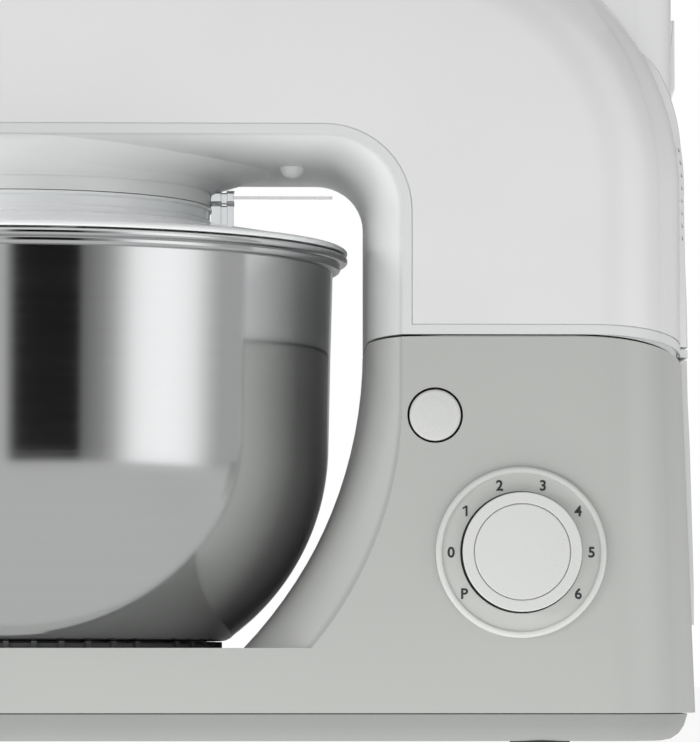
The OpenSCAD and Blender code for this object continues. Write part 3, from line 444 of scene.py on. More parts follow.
def swept(path, wide, deep, side, sides=16, closed=False):
    """Points and quads of an oval along a path: P + cos(a) wide S + sin(a) deep (T x S), for a all round.

    T is the path's direction and S the given side, made square to T. An open sweep ends in a point."""
    path, side = np.asarray(path, float), np.asarray(side, float)
    if closed:
        along = np.roll(path, -1, 0) - np.roll(path, 1, 0)
    else:
        along = np.gradient(path, axis=0)
    along /= np.linalg.norm(along, axis=1)[:, None]
    across = side - (along * side).sum(1)[:, None] * along
    across /= np.linalg.norm(across, axis=1)[:, None]
    third = np.cross(along, across)
    a = np.linspace(0, 2 * np.pi, sides, endpoint=False)[None, :, None]
    size = np.ones(len(path))
    if not closed:
        path, across, third = (np.concatenate([x[:1], x, x[-1:]]) for x in (path, across, third))
        size = np.concatenate([[0], size, [0]])
    size = size[:, None, None]
    points = path[:, None] + size * (np.cos(a) * wide * across[:, None] + np.sin(a) * deep * third[:, None])
    return points.reshape(-1, 3), grid(len(path), sides, closed)


def pulled(outline, low, high, edge):
    """Points and faces of an outline pulled from z = low to z = high; its top and bottom edges are bevelled.

    Each of the four rings is the outline, moved in by the edge at the two ends along the mean of its side
    normals."""
    p = np.asarray(outline, float)
    ahead = np.roll(p, -1, 0) - p
    normal = np.stack([ahead[:, 1], -ahead[:, 0]], 1) / np.linalg.norm(ahead, axis=1)[:, None]
    normal = normal + np.roll(normal, 1, 0)
    normal /= np.linalg.norm(normal, axis=1)[:, None]
    rings = [np.c_[p - normal * inset, np.full(len(p), z)]
             for inset, z in ((edge, low), (0, low + edge), (0, high - edge), (edge, high))]
    count = len(p)
    faces = grid(4, count, False).tolist()
    return np.concatenate(rings), faces + [list(range(count)), list(range(3 * count, 4 * count))]


def together(*shells):
    """Puts the points and faces of several shells into one pair."""
    start, points, faces = 0, [], []
    for some, these in shells:
        points.append(np.asarray(some).reshape(-1, 3))
        faces += [[start + int(k) for k in face] for face in these]
        start += len(points[-1])
    return np.concatenate(points), faces


print("surfaces can be turned, swept and pulled")

# %% [markdown]
# ## The mixing bowl
# The bowl is spun from one steel sheet. Its wall is an arc that runs up into a straight skirt, and its edge
# is rolled over twice, which leaves a flat lip and a bead below it. The piece keeps the CAD bowl's size, and
# draws the roll and the curve of the wall more finely.

# %% Bowl
bowl_low, bowl_high = np.array(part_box("mixing_bowl"))
rim_r = (bowl_high[0] - bowl_low[0]) / 2
sheet = 1.2 * MM
arc_middle = np.array((28.5 * MM, rim_z - 71.5 * MM))


def bowl_wall(inset):
    """Arc of 53 degrees round arc_middle, then a straight skirt: rows of (r, z)."""
    a = np.radians(np.linspace(-53.2, 0, 60))[:, None]
    radius = rim_r - 35.8 * MM - inset
    skirt = np.array([[rim_r - 6.6 * MM - inset, rim_z - 38 * MM],
                      [rim_r - 5.7 * MM - inset, rim_z - 5 * MM]])
    return np.concatenate([arc_middle + radius * np.concatenate([np.cos(a), np.sin(a)], 1), skirt])


rolled = eased(np.array([[rim_r, rim_z]]) + MM * np.array(
    [[-5.7, -5.0], [-4.9, -5.7], [-3.3, -5.7], [-2.6, -4.3], [-2.9, -3.2], [-1.5, -3.1], [-0.1, -2.3],
     [-0.1, -0.9], [-1.0, 0.0], [-5.6, 0.0], [-6.7, -1.4], [-6.9, -5.0]]), 1.1 * MM, closed=False)
foot_r = 78.5 * MM
under = eased(np.array([[0, bowl_low[2]], [foot_r - 6 * MM, bowl_low[2]], [foot_r, bowl_low[2] + 0.1 * MM],
                        [foot_r + 2.2 * MM, bowl_low[2] + 1.2 * MM]]), 1.0 * MM, closed=False)
inside = np.array([[foot_r - 2 * MM, bowl_low[2] + 2.6 * MM], [foot_r - 9 * MM, bowl_low[2] + sheet],
                   [0, bowl_low[2] + sheet]])
outline = np.concatenate([under, bowl_wall(0), rolled, bowl_wall(sheet)[::-1], inside])
build("mixing_bowl_spun", *turned(outline, (bowl_x, 0, 0), (0, 0, 1), 288), "bowl_steel", "bowl",
      "bowl_steel", ["mixing_bowl"])

# %% [markdown]
# ## The splash guard and its clip
# The guard is one milky moulding: a flange on the rim, a shallow cone, and an upright collar with a bead at
# its foot and one at its top. Beside the collar stand a post and a clip, small channels that are open towards
# the side.

# %% Guard
guard_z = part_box("splash_guard")[0][2]
ring_box = np.array(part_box("guard_ring"))
ring_low, ring_out = ring_box[0, 2], (ring_box[1, 0] - ring_box[0, 0]) / 2
top = (ring_low - 0.25 * MM - guard_z) / MM
edge_r, collar_r = rim_r / MM, ring_out / MM
cone = [[edge_r - 4.2, 0.0], [edge_r - 0.5, 0.0], [edge_r - 0.1, 0.6], [edge_r - 0.3, 1.5],
        [edge_r - 1.6, 2.3], [edge_r - 3.6, 2.5], [collar_r + 8.5, 9.4], [collar_r + 1.4, 10.3],
        [collar_r + 0.5, 11.2], [collar_r + 0.5, 12.6], [collar_r - 0.4, 13.2], [collar_r - 0.4, top - 1.6],
        [collar_r + 0.3, top - 1.2], [collar_r + 0.3, top], [collar_r - 2.2, top], [collar_r - 2.2, 9.4],
        [collar_r + 7.6, 7.7], [edge_r - 4.6, 0.9]]
clip_low, clip_high = np.array(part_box("guard_clip"))
post_x, prong = clip_low[0], 5.0


def channel(x, deep):
    """Outline of a channel, open towards -Y: a web at the back and two prongs, the left one wider."""
    inner = deep - 2.6
    corners = [[0, deep], [0, -deep], [3.6, -deep], [3.6, inner], [6.0, inner], [6.0, -deep], [8.4, -deep],
               [8.4, deep]]
    return eased(MM * np.array(corners)[::-1] + (x, 0), 0.35 * MM, 3)


build("splash_guard_moulding", *turned(MM * eased(cone, 0.5, 5), (bowl_x, 0, guard_z), (0, 0, 1), 240, True),
      "clear_plastic", "head", "clear_plastic", ["splash_guard"])
build("guard_post", *pulled(channel(post_x, prong), guard_z + 8.9 * MM, ring_low + 1.5 * MM, 0.3 * MM),
      "clip_clear", "head", "clear_plastic")
build("guard_clip_moulding",
      *pulled(channel(post_x, prong), ring_low + 2.2 * MM, ring_low + 6.4 * MM, 0.3 * MM),
      "clip_clear", "head", "clear_plastic", ["guard_clip"])
arm_start, arm_end, arm_y, arm_z = post_x + 8.2 * MM, clip_high[0], clip_high[1], clip_low[2] + 1.3 * MM
arm = [[arm_start, -arm_y], [arm_end, -arm_y], [arm_end, arm_y], [arm_start, arm_y]]
build("guard_clip_arm", *pulled(eased(arm, 0.8 * MM, 4), arm_z, arm_z + 0.25 * MM, 0.05 * MM),
      "arm_clear", "head", "clear_plastic")

# %% [markdown]
# ## Cowl round the hub
# The underside of the arm runs down to the guard's ring in one smooth trumpet. The cowl is a surface between
# two curves: a circle just outside the ring, and an oval that lies on the underside. Its height follows a
# power of the way between them, so that it leaves the ring steeply and meets the underside flat.

# %% Cowl
shell_low, shell_high = np.array(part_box("arm_shell"))
half_wide = shell_high[1]
flat_z = ring_low + 13.2 * MM
nose_start, nose_run, rise, flat_y = bowl_x - 68 * MM, 40 * MM, 6.5 * MM, 34 * MM


def underside(x, y):
    """Height of the arm's underside: flat, with a quarter ellipse at the nose and a round at each side."""
    q = np.clip((nose_start - x) / nose_run, 0, 1)
    nose = 1 - np.sqrt(1 - q ** 2)
    edge = np.clip((np.abs(y) - flat_y) / (half_wide - flat_y), 0, 1) * np.sin(np.radians(60))
    side = (1 - np.sqrt(1 - edge ** 2)) * 2
    middle = flat_z + rise * nose
    return middle + (flat_z + rise + 0.3 * MM * nose - middle) * side


boss_low = ring_low + 5.2 * MM
turns = np.linspace(0, 2 * np.pi, 160, endpoint=False)
way = np.linspace(0, 1, 22)[:, None]
circle_r, oval_x, oval_y = 73.4 * MM, 99 * MM, 79.3 * MM
inner = np.stack([np.cos(turns), np.sin(turns)], 1) * circle_r
outer = np.stack([np.cos(turns) * oval_x, np.sin(turns) * oval_y], 1)
plan = inner[None] * (1 - way[:, :, None]) + outer[None] * way[:, :, None]
outer_z = underside(outer[:, 0] + bowl_x, outer[:, 1]) + 0.15 * MM
skin_z = boss_low + (outer_z[None] - boss_low) * (1 - (1 - way) ** 2.3)
back = np.stack([outer, inner * 0.996])
back_z = np.stack([outer_z + 0.8 * MM, np.full(len(turns), boss_low + 1.5 * MM)])
plan, skin_z = np.concatenate([plan, back]), np.concatenate([skin_z, back_z])
points = np.concatenate([plan + (bowl_x, 0), skin_z[:, :, None]], 2).reshape(-1, 3)
build("hub_cowl", points, grid(len(plan), len(turns), True), "frame_white", "head", "frame_white")

# %% [markdown]
# ## Lip inside the rear joint
# Where the joint between head and body drops round the back, the head carries an inner lip that closes the
# view into the machine. It stands inside the body's wall and swings inwards when the head tilts up.

# %% Joint lip
# The joint drops by head_drop over head_run on the head's side, and by more on the casing's side
back_x = shell_high[0]
corner = 33 * MM
corner_x, corner_y = back_x - corner, half_wide - corner
head_drop, head_run = 6.5 * MM, 35 * MM
casing_drop, casing_run = 9.5 * MM, 40 * MM
joint_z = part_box("arm_frame")[0][2] + head_drop
casing_top = joint_z - 0.9 * MM


def dropping(x, level, dip, run):
    """Height of a joint line: level, then down by dip over the last run on a quarter ellipse."""
    q = np.clip((x - (back_x - run)) / run, 0, 1)
    return level - dip * (1 - np.sqrt(1 - q ** 2))


def lip_path(inset):
    """Plan of the rear outline moved in: a straight side, a quarter round, the back, and the mirror image."""
    a = np.linspace(-np.pi / 2, 0, 24)
    r = corner - inset
    straight_x = np.linspace(back_x - 75 * MM, corner_x, 12)[:-1]
    straight = np.stack([straight_x, np.full(len(straight_x), -half_wide + inset)], 1)
    near = np.concatenate([straight, np.stack([corner_x + r * np.cos(a), -corner_y + r * np.sin(a)], 1)])
    return np.concatenate([near, near[::-1] * (1, -1)])


outside, within = lip_path(1.45 * MM), lip_path(2.4 * MM)
reach_x = np.minimum(outside[:, 0] + 1.45 * MM, back_x)
top_z = dropping(reach_x, joint_z, head_drop, head_run) + 2.2 * MM
low_z = dropping(reach_x, casing_top, casing_drop, casing_run) + 1.0 * MM
loop = np.stack([np.c_[outside, top_z], np.c_[outside, low_z], np.c_[within, low_z], np.c_[within, top_z]])
count = len(outside)
faces = [[k * count + i, k * count + i + 1, (k + 1) % 4 * count + i + 1, (k + 1) % 4 * count + i]
         for k in range(4) for i in range(count - 1)]
ends = [[0, count, 2 * count, 3 * count], [count - 1, 2 * count - 1, 3 * count - 1, 4 * count - 1]]
build("joint_lip", loop.reshape(-1, 3), faces + ends, "frame_white", "head", "frame_white")

# %% [markdown]
# ## Beads in the seams
# A fine bead lies in the groove between the shell and the inner frame, so that the seam shows as a thin grey
# line. It runs level under the arm, round the fillet and down the column, and along the foot of the shell
# round the back. Two more beads stand on the rim of the casing and narrow the joint at the sides.

# %% Seam beads
bead_r, bead_in = 0.45 * MM, 0.8 * MM
seam_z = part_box("arm_frame")[1][2] + 0.2 * MM
foot_z = shell_low[2] + head_drop - 0.2 * MM
column_x = bowl_x + rim_r + 21.7 * MM
bend = 31.6 * MM
a = np.linspace(np.pi / 2, 0, 24)
fillet = bend * np.stack([np.cos(a), np.sin(a)], 1) + (column_x - bend, seam_z - bend)
over = np.concatenate([[[-105 * MM, seam_z]], fillet, [[column_x, foot_z]]])
plan = lip_path(bead_in)
plan = np.concatenate([[[column_x, plan[0, 1]]], plan, [[column_x, plan[-1, 1]]]])
foot_x = plan[:, 0] + bead_in * (plan[:, 0] > corner_x)
foot_path = np.c_[plan, dropping(foot_x, foot_z, head_drop, head_run)]

# The beads on the casing's rim sink into it towards both of their ends
rim_start, rim_end = column_x - 2.2 * MM, back_x - 17 * MM
rim_x = np.r_[rim_start, rim_start + 7 * MM, rim_start + 14 * MM, np.linspace(110 * MM, rim_end, 24)]
round_x = np.maximum(rim_x - corner_x, 0)
rim_y = corner - np.sqrt((corner - bead_in) ** 2 - round_x ** 2)
sink_x = [rim_start, rim_start + 14 * MM, back_x - 42 * MM, rim_end]
sunk = np.interp(rim_x, sink_x, [0.42, 0.0, 0.0, 0.42]) * MM
rim_height = dropping(rim_x, casing_top, casing_drop, casing_run) + 0.08 * MM - sunk
beads = [swept(foot_path, bead_r, bead_r, (0, 0, 1), 12)]
rims = []
for side in (-1, 1):
    level_y = np.full(len(over), side * (half_wide - bead_in))
    beads.append(swept(np.c_[over[:, 0], level_y, over[:, 1]], bead_r, bead_r, (0, 1, 0), 12))
    rims.append(swept(np.c_[rim_x, side * (half_wide - rim_y), rim_height], bead_r, bead_r, (0, 0, 1), 12))
build("seam_beads", *together(*beads), "frame_white", "head", "frame_white")
build("casing_beads", *together(*rims), "grey_casing", "base", "grey_casing")

# %% [markdown]
# ## Dial and release button
# The dial is a flat knob with a separate cap, in a shallow ring with a raised rim. Thin dark gaps part them,
# and these gaps are what the eye reads, so each is left open over a dark well of painted shade.

# %% Dial and button
out = (0, -1, 0)
dial_middle = (dial_at[0], side_y, dial_at[2])
# Outlines are in millimetres: the radius, and the height over the casing's side
ring_low_at, ring_high_at = np.array(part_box("dial_bezel"))
knob_low_at, knob_high_at = np.array(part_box("dial_knob"))
ring_r = (ring_high_at[0] - ring_low_at[0]) / 2 / MM
knob_r = (knob_high_at[0] - knob_low_at[0]) / 2 / MM
knob_top = (side_y - knob_low_at[1]) / MM - 0.6
ring_face, cap_r = 1.9, 17.15
ring_line = [[knob_r + 0.4, 0.35], [knob_r + 0.4, ring_face], [ring_r - 2.7, ring_face], [ring_r - 2.1, 2.9],
             [ring_r - 0.9, 2.9], [ring_r - 0.05, 1.7], [ring_r - 0.05, 0.02], [ring_r - 1.2, 0.02]]
build("dial_ring", *turned(MM * eased(ring_line, 0.35), dial_middle, out, 224, True), "dial_ring_grey",
      "base", "dial_ring_grey", ["dial_bezel"])
# The well is painted shade: a dark disc that stands for the depth under the gaps
shade_well_line = np.array([[4.6, 0.03], [knob_r + 0.6, 0.03], [knob_r + 0.6, 0.3], [4.6, 0.3]])
build("dial_shade_well", *turned(MM * shade_well_line, dial_middle, out, 96, True), "inner_dark", "base", "inner_dark")
knob_line = [[0, 2.8], [knob_r - 1.4, 2.8], [knob_r - 1.0, 3.1], [knob_r - 0.04, knob_top - 0.5],
             [knob_r - 0.3, knob_top], [cap_r + 0.5, knob_top], [cap_r + 0.35, knob_top - 0.15],
             [cap_r + 0.35, knob_top - 0.9], [0, knob_top - 0.9]]
build("dial_knob_moulding", *turned(MM * eased(knob_line, 0.25, closed=False), dial_middle, out, 224),
      "dial_cap_grey", "dial", "dial_cap_grey", ["dial_knob"])
cap_line = [[0, knob_top - 0.85], [cap_r, knob_top - 0.85], [cap_r, knob_top - 0.1],
            [cap_r - 0.25, knob_top + 0.05], [10, knob_top + 0.2], [0, knob_top + 0.25]]
build("dial_cap_moulding", *turned(MM * eased(cap_line, 0.25, closed=False), dial_middle, out, 224),
      "dial_cap_grey", "dial", "dial_cap_grey", ["dial_cap"])
button_low, button_high = np.array(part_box("release_button"))
press_r = (button_high[0] - button_low[0]) / 2 / MM
press_in = (side_y - button_high[1]) / MM
button_line = [[0, press_in], [2.8, press_in], [2.8, -6.5], [press_r, -6.5], [press_r, -0.1],
               [press_r - 0.6, 0.55], [press_r * 0.5, 0.85], [0, 0.9]]
build("release_button_moulding", *turned(MM * eased(button_line, 0.3, closed=False),
                                         (button_at[0], side_y, button_at[2]), out, 144),
      "dial_cap_grey", "button", "dial_cap_grey", ["release_button"])

# %% [markdown]
# ## Whisk wires
# A balloon whisk is a set of wire loops that cross at the bottom. Each loop is the CAD loop's formula on a
# finer grid, with a round section.

# %% Whisk
whisk_low, whisk_high = np.array(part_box("whisk_wires"))
whisk_x = (whisk_low[0] + whisk_high[0]) / 2
loops = 5
wire_r = 1.2 * MM
reach = 38 * MM
loop_top = whisk_high[2]


def whisk_loop(index):
    """Half of a loop, for t from 0 to 1; the other half mirrors it.

    r(t) = reach sin(90 t)^0.8 sqrt(1 - max(0, 2t - 1)^2.4) + 5 (1 - t) mm. The height falls straight to three
    quarters of the way down at t = 0.5, and then along a quarter sine to the loop's own low point."""
    t = np.linspace(0, 1, 49)
    r = reach * np.sin(np.pi / 2 * t) ** 0.8 * np.sqrt(1 - np.maximum(0, 2 * t - 1) ** 2.4) + 5 * MM * (1 - t)
    low = whisk_low[2] + wire_r + 2.6 * MM * index
    drop = np.where(t < 0.5, 1.5 * t, 0.75 + 0.25 * np.sin(np.pi * (t - 0.5)))
    z = loop_top + (low - loop_top) * drop
    r, z = np.r_[r, -r[-2::-1]], np.r_[z, z[-2::-1]]
    turn = np.radians(index * 180 / loops + 10)
    path = np.stack([whisk_x + r * np.cos(turn), r * np.sin(turn), z], 1)
    return swept(path, wire_r, wire_r, (-np.sin(turn), np.cos(turn), 0), 12)


build("whisk_wires_bent", *together(*[whisk_loop(index) for index in range(loops)]), "bright_steel", "tool",
      "bright_steel", ["whisk_wires"])

# %% [markdown]
# ## The jar
# The jar of the blender is a thick tapered glass with a bow handle. Raised bars on the wall stand for its
# measure, with no figures.

# %% Jar
jar_low, jar_high = np.array(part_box("jar_glass"))
mouth = (jar_high[0] - jar_low[0]) / 2 / MM
depth = (jar_high[2] - jar_low[2]) / MM
wall = 3.5
glass = [[mouth - 16, 0], [mouth - 9, 0], [mouth - 8, 1], [mouth - 8, 14], [mouth - 0.7, depth - 7],
         [mouth, depth - 5], [mouth, depth - 0.8], [mouth - 0.9, depth], [mouth - wall + 0.6, depth],
         [mouth - wall, depth - 1], [mouth - 8 - wall, 15], [mouth - 8 - wall, 7], [mouth - 15, 4.5],
         [mouth - 16, 4]]
bow = MM * eased([[0, 47], [-26, 53], [-32, 64], [-32, 110], [-27, 121], [0, 127]], 12, 12, closed=False)


def jar_wall_r(height):
    """Outer radius of the jar's wall in millimetres: a straight line from its foot to its mouth."""
    return mouth - 8 + (height - 14) / (depth - 21) * 7.3


start_y = -(jar_wall_r(87) - 2.4) * MM
path = np.stack([np.full(len(bow), motor_x), start_y + bow[:, 0], jar_low[2] + bow[:, 1]], 1)
bars = []
for count in range(9):
    level, half = 30 + count * 12, 11 if count % 2 == 0 else 6
    a = np.radians(np.linspace(-38 - half, -38 + half, 15))
    r = (jar_wall_r(level) + 0.15) * MM
    line = np.stack([motor_x + r * np.cos(a), r * np.sin(a), np.full(15, jar_low[2] + level * MM)], 1)
    bars.append(swept(line, 0.55 * MM, 0.45 * MM, (0, 0, 1), 8))
body = turned(MM * eased(glass, 0.8, 6), (motor_x, 0, jar_low[2]), (0, 0, 1), 200, True)
handle = swept(path, 8.0 * MM, 5.2 * MM, (1, 0, 0), 24)
build("jar_glass_blown", *together(body, handle, *bars), "jar_clear", "jar", "jar_clear", ["jar_glass"])

# %% [markdown]
# ## Raised field at the back
# A field stands about three millimetres proud of the back and runs from the casing over the head's rear
# corner. Each part of it is a strip: for each height a loop goes across the field and back behind the skin.
# Its thickness is drawn against the height, and the air slots of the motor are grooves across it with a dark
# floor: painted shade, for the dark inside behind the slots.


# %% Field and louvres
shoulder_r = 103 * MM
shoulder_x, shoulder_z = shell_high[0] - shoulder_r, shell_high[2] - shoulder_r
vents, vent_z, vent_pitch, vent_tall = 8, 186.0 * MM, 4.7 * MM, 2.2 * MM
field_half, strip_proud = 48 * MM, 3.1 * MM


def rear_line(z):
    """Rear outline of the head, upright and then a quarter circle: x, and the outward direction."""
    up = np.clip((z - shoulder_z) / shoulder_r, 0, 1)
    out_x = np.sqrt(1 - up ** 2)
    return shoulder_x + shoulder_r * out_x, np.stack([out_x, up], 1)


def field(name, z, x, outward, proud, finish, body, slot, grooves=0.0, behind=-1.2 * MM):
    """A loop at each height z, from the outline x outwards; its back lies behind the skin.

    The thickness is proud (1 - max(0, (|y| - 42) / 6)^4)^(1/2), less the grooves at |y| of 5 to 45 mm."""
    front = 65
    y = np.concatenate([np.linspace(-1, 1, front), np.linspace(1, -1, 9)]) * field_half
    fall = np.sqrt(1 - np.clip((np.abs(y) - 42 * MM) / (6 * MM), 0, 1) ** 4)
    slotted = (np.abs(y) > 5 * MM) & (np.abs(y) < 45 * MM)
    behind = behind * np.ones(len(z))
    depth = np.outer(proud, fall) - np.outer(grooves * np.ones(len(z)), slotted)
    depth = np.maximum(depth, behind[:, None] + 0.05 * MM)
    depth[:, front:] = behind[:, None]
    depth[0], depth[-1] = behind[0], behind[-1]
    points = np.stack([x[:, None] + depth * outward[:, :1], np.broadcast_to(y, depth.shape),
                       z[:, None] + depth * outward[:, 1:]], -1)
    return build(name, points.reshape(-1, 3), grid(len(z), len(y), False), finish, body, slot)


rows = np.arange(shell_low[2] + 0.4 * MM, 257 * MM, 0.3 * MM)
rows = np.r_[rows[0], rows, rows[-1]]
line_x, line_out = rear_line(rows)
drawn_z = np.array([146, 164, 178, 201, 221, 229, 235, 242.5, 248.8, 252.6, 256]) * MM
drawn = np.array([3.1, 2.8, 2.3, 2.0, 2.3, 3.0, 3.3, 3.5, 3.2, 2.4, 0.5]) * MM
way = (rows - vent_z) / vent_pitch
inside_slot = (way % 1 < vent_tall / vent_pitch) & (way >= 0) & (way < vents)
field("rear_field", rows, line_x, line_out, np.interp(rows, drawn_z, drawn), "white_gloss", "head",
      "white_gloss", inside_slot * 1.5 * MM)
frame_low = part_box("arm_frame")[0][2]
rows = np.linspace(frame_low + 0.3 * MM, shell_low[2] - 0.5 * MM, 9)[np.r_[0, 0:9, 8]]
level = np.ones(len(rows))
field("rear_field_strip", rows, shell_high[0] * level, np.outer(level, (1, 0)), strip_proud * level,
      "frame_white", "head", "frame_white")

# The casing's part starts above the cable gland, and its top keeps clear of the strip when the head tilts
casing_low, casing_high = np.array(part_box("body_casing"))
rows = np.linspace(44 * MM, frame_low - 0.6 * MM, 70)[np.r_[0, 0:70, 69]]
down = (casing_high[2] - rows) / (casing_high[2] - casing_low[2])
wall_x = shell_high[0] + (casing_high[0] - shell_high[0]) * down
face_x = np.interp(rows, np.array([12, 60, 90, 110, 127, 141]) * MM,
                   np.array([189.95, 189.9, 189.2, 188.7, 188.0, 187.8]) * MM)
pin_at = centre("hinge_pin")
sweep_r = np.hypot(shell_high[0] + strip_proud - pin_at[0], frame_low + 0.3 * MM - pin_at[2]) + 0.2 * MM
clear_x = pin_at[0] + np.sqrt(np.maximum(sweep_r ** 2 - (rows - pin_at[2]) ** 2, 0))
level = np.ones(len(rows))
# This part of the field is painted pale: a painted highlight along the back's edge
field("rear_field_casing", rows, wall_x, np.outer(level, (1, 0)), np.maximum(face_x - wall_x, 0.06 * MM),
      "rear_painted_highlight", "base", "grey_casing", behind=np.maximum(clear_x - wall_x, -1.2 * MM))

# The floor of each slot is a dark bar of painted shade, in two halves beside a web
slot_shade_bars = []
for count in range(vents):
    low = vent_z + count * vent_pitch + 0.3 * MM
    high = low + vent_tall - 0.6 * MM
    x_low, x_high = rear_line(np.array([low, high]))[0]
    proud = np.interp(low, drawn_z, drawn) - 0.75 * MM
    for side in (-1, 1):
        bar = [[x_high - MM, high], [x_high + proud - 0.5 * MM, high], [x_low + proud, low],
               [x_low - MM, low]]
        some, faces = pulled(bar, (side * 26.3 - 21) * MM, (side * 26.3 + 21) * MM, 0.05 * MM)
        slot_shade_bars.append((some[:, [0, 2, 1]], faces))
build("outlet_slots", *together(*slot_shade_bars), "slot_grey", "head", "inner_dark")

# %% [markdown]
# ## Drive tower
# The tower's skin is a turned sleeve over the CAD tower, and a flat rib runs up its back from the field.

# %% Tower sleeve and rib
tower_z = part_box("drive_tower")[1][2]
sleeve = MM * np.array([[54.0, 236], [57.2, 236], [57.2, 286], [56.9, 300], [55.9, 315], [54.3, 325.4],
                        [53.4, 325.4]])
# The sleeve and the rib are painted paler than the head's white: painted light
build("tower_sleeve", *turned(sleeve, (motor_x, 0, tower_z - 326 * MM), (0, 0, 1), 200, True),
      "tower_white", "head", "white_gloss")
rib = MM * np.array([[183, 239], [184.5, 239], [187.5, 248], [187.5, 274.5], [183, 274.5]])
some, faces = pulled(eased(rib, 0.5 * MM, 4), -4.5 * MM, 4.5 * MM, 0.6 * MM)
build("tower_rib", some[:, [0, 2, 1]], faces, "tower_white", "head", "white_gloss")

# %% [markdown]
# ## The marks of the dial
# The scale is printed on the ring: P and 0 to 6, one step apart. Each mark is a text object, made into a mesh
# and laid just in front of the ring, so that it is a thin skin of ink. The 1 is drawn as an outline with a
# short flag.


# %% Dial marks
def lay_text(name, words, middle, height):
    """A text made into a mesh: its own X goes along X and its own Y goes up, at the plane y = middle[1]."""
    curve = bpy.data.curves.new(name, "FONT")
    curve.body, curve.size, curve.extrude, curve.offset = words, height * 1.38, 0.04 * MM, 0.14 * MM
    curve.align_x = "CENTER"
    holder = linked(name + "_curve", curve)
    bpy.context.view_layer.update()
    mesh = bpy.data.meshes.new_from_object(holder.evaluated_get(bpy.context.evaluated_depsgraph_get()))
    bpy.data.objects.remove(holder)
    flat = np.empty(len(mesh.vertices) * 3)
    mesh.vertices.foreach_get("co", flat)
    flat = flat.reshape(-1, 3)
    flat[:, 0] -= (flat[:, 0].min() + flat[:, 0].max()) / 2
    flat[:, 1] -= (flat[:, 1].min() + flat[:, 1].max()) / 2
    placed = np.stack([flat[:, 0] + middle[0], middle[1] - flat[:, 2], flat[:, 1] + middle[2]], 1)
    mesh.vertices.foreach_set("co", placed.ravel())
    mesh.materials.clear()
    return linked(name, mesh)


step, first, marks_r, mark_tall = 36, 216, 25.4 * MM, 3.8 * MM
one = np.array([[0.28, -0.5], [0.28, 0.5], [0.12, 0.5], [-0.18, 0.3], [-0.18, 0.14], [0.1, 0.3], [0.1, -0.5]])
for count, word in enumerate("P0123456"):
    turn = np.radians(first - step * count)
    at = (dial_at[0] + marks_r * np.cos(turn), side_y - (ring_face + 0.05) * MM,
          dial_at[2] + marks_r * np.sin(turn))
    if word == "1":
        flat, faces = pulled(one[::-1] * mark_tall, 0.0, 0.08 * MM, 0.01 * MM)
        standing = np.stack([flat[:, 0] + at[0], at[1] - flat[:, 2], flat[:, 1] + at[2]], 1)
        build("dial_mark_1", standing, faces, "ink", "base", "inner_dark")
        continue
    mark = lay_text("dial_mark_" + word, word, at, mark_tall)
    mark.data.materials.append(finishes["ink"].material)
    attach(mark, "base")
print("dial marks: P and 0 to 6")

# %% [markdown]
# ## The floor
# The floor is plain and pale. The camera sees it nearly white with a soft shadow, and diffuse rays see it as
# a glow that is brighter near the machine, like the light that a bright table sends back.

# %% Floor
mesh = bpy.data.meshes.new("floor")
mesh.from_pydata([(-6, -6, 0), (6, -6, 0), (6, 6, 0), (-6, 6, 0)], [], [(0, 1, 2, 3)])
floor = linked("floor", mesh)
board = Board("floor_white")
board.set(Base_Color=rgb(0.86), Roughness=0.6)
white = board.add("ShaderNodeEmission", {}, {"Color": rgb(1.0), "Strength": 1.0})
x, y, z = board.axes(board.place())
away = (x * x + y * y) ** 0.5
near_far = board.mix(away.ramp(0.45, 1.1), rgb(1.6), rgb(0.85))
bounce = board.add("ShaderNodeEmission", {}, {"Color": near_far, "Strength": 1.0})
seen_by_camera = board.add("ShaderNodeLightPath", output="Is Camera Ray")
seen_by_diffuse = board.add("ShaderNodeLightPath", output="Is Diffuse Ray")
plain = Wire(board, board.shader.outputs[0])
lit = board.add("ShaderNodeMixShader", {}, {0: seen_by_camera * 0.88, 1: plain, 2: white})
surface = board.add("ShaderNodeMixShader", {}, {0: seen_by_diffuse, 1: lit, 2: bounce})
board.feed(board.tree.nodes["Material Output"].inputs[0], surface)
floor.data.materials.append(board.material)
floor.visible_glossy = False
print("floor laid")

# %% [markdown]
# ## What the steel reflects
# Steel shows its surroundings. A wall all round and a disc of table are seen by reflections only. Each holds
# its glow in a colour attribute, which is drawn against the direction in degrees from the front.


# %% Surroundings for reflections
def glowing(name, points, faces, levels):
    """A surface that only reflections see; its colour attribute holds the glow of each point."""
    mesh = bpy.data.meshes.new(name)
    mesh.from_pydata(np.asarray(points).tolist(), [], np.asarray(faces).tolist())
    glow = mesh.color_attributes.new("glow", "FLOAT_COLOR", "POINT")
    levels = np.asarray(levels, float)
    glow.data.foreach_set("color", np.stack([levels, levels, levels, np.ones(len(levels))], 1).ravel())
    piece = linked(name, mesh)
    board = Board(name)
    colour = board.add("ShaderNodeAttribute", {"attribute_name": "glow"}, {}, output="Color")
    lit = board.add("ShaderNodeEmission", {}, {"Color": colour})
    board.feed(board.tree.nodes["Material Output"].inputs[0], lit)
    mesh.materials.append(board.material)
    piece.visible_camera = piece.visible_diffuse = piece.visible_transmission = piece.visible_shadow = False


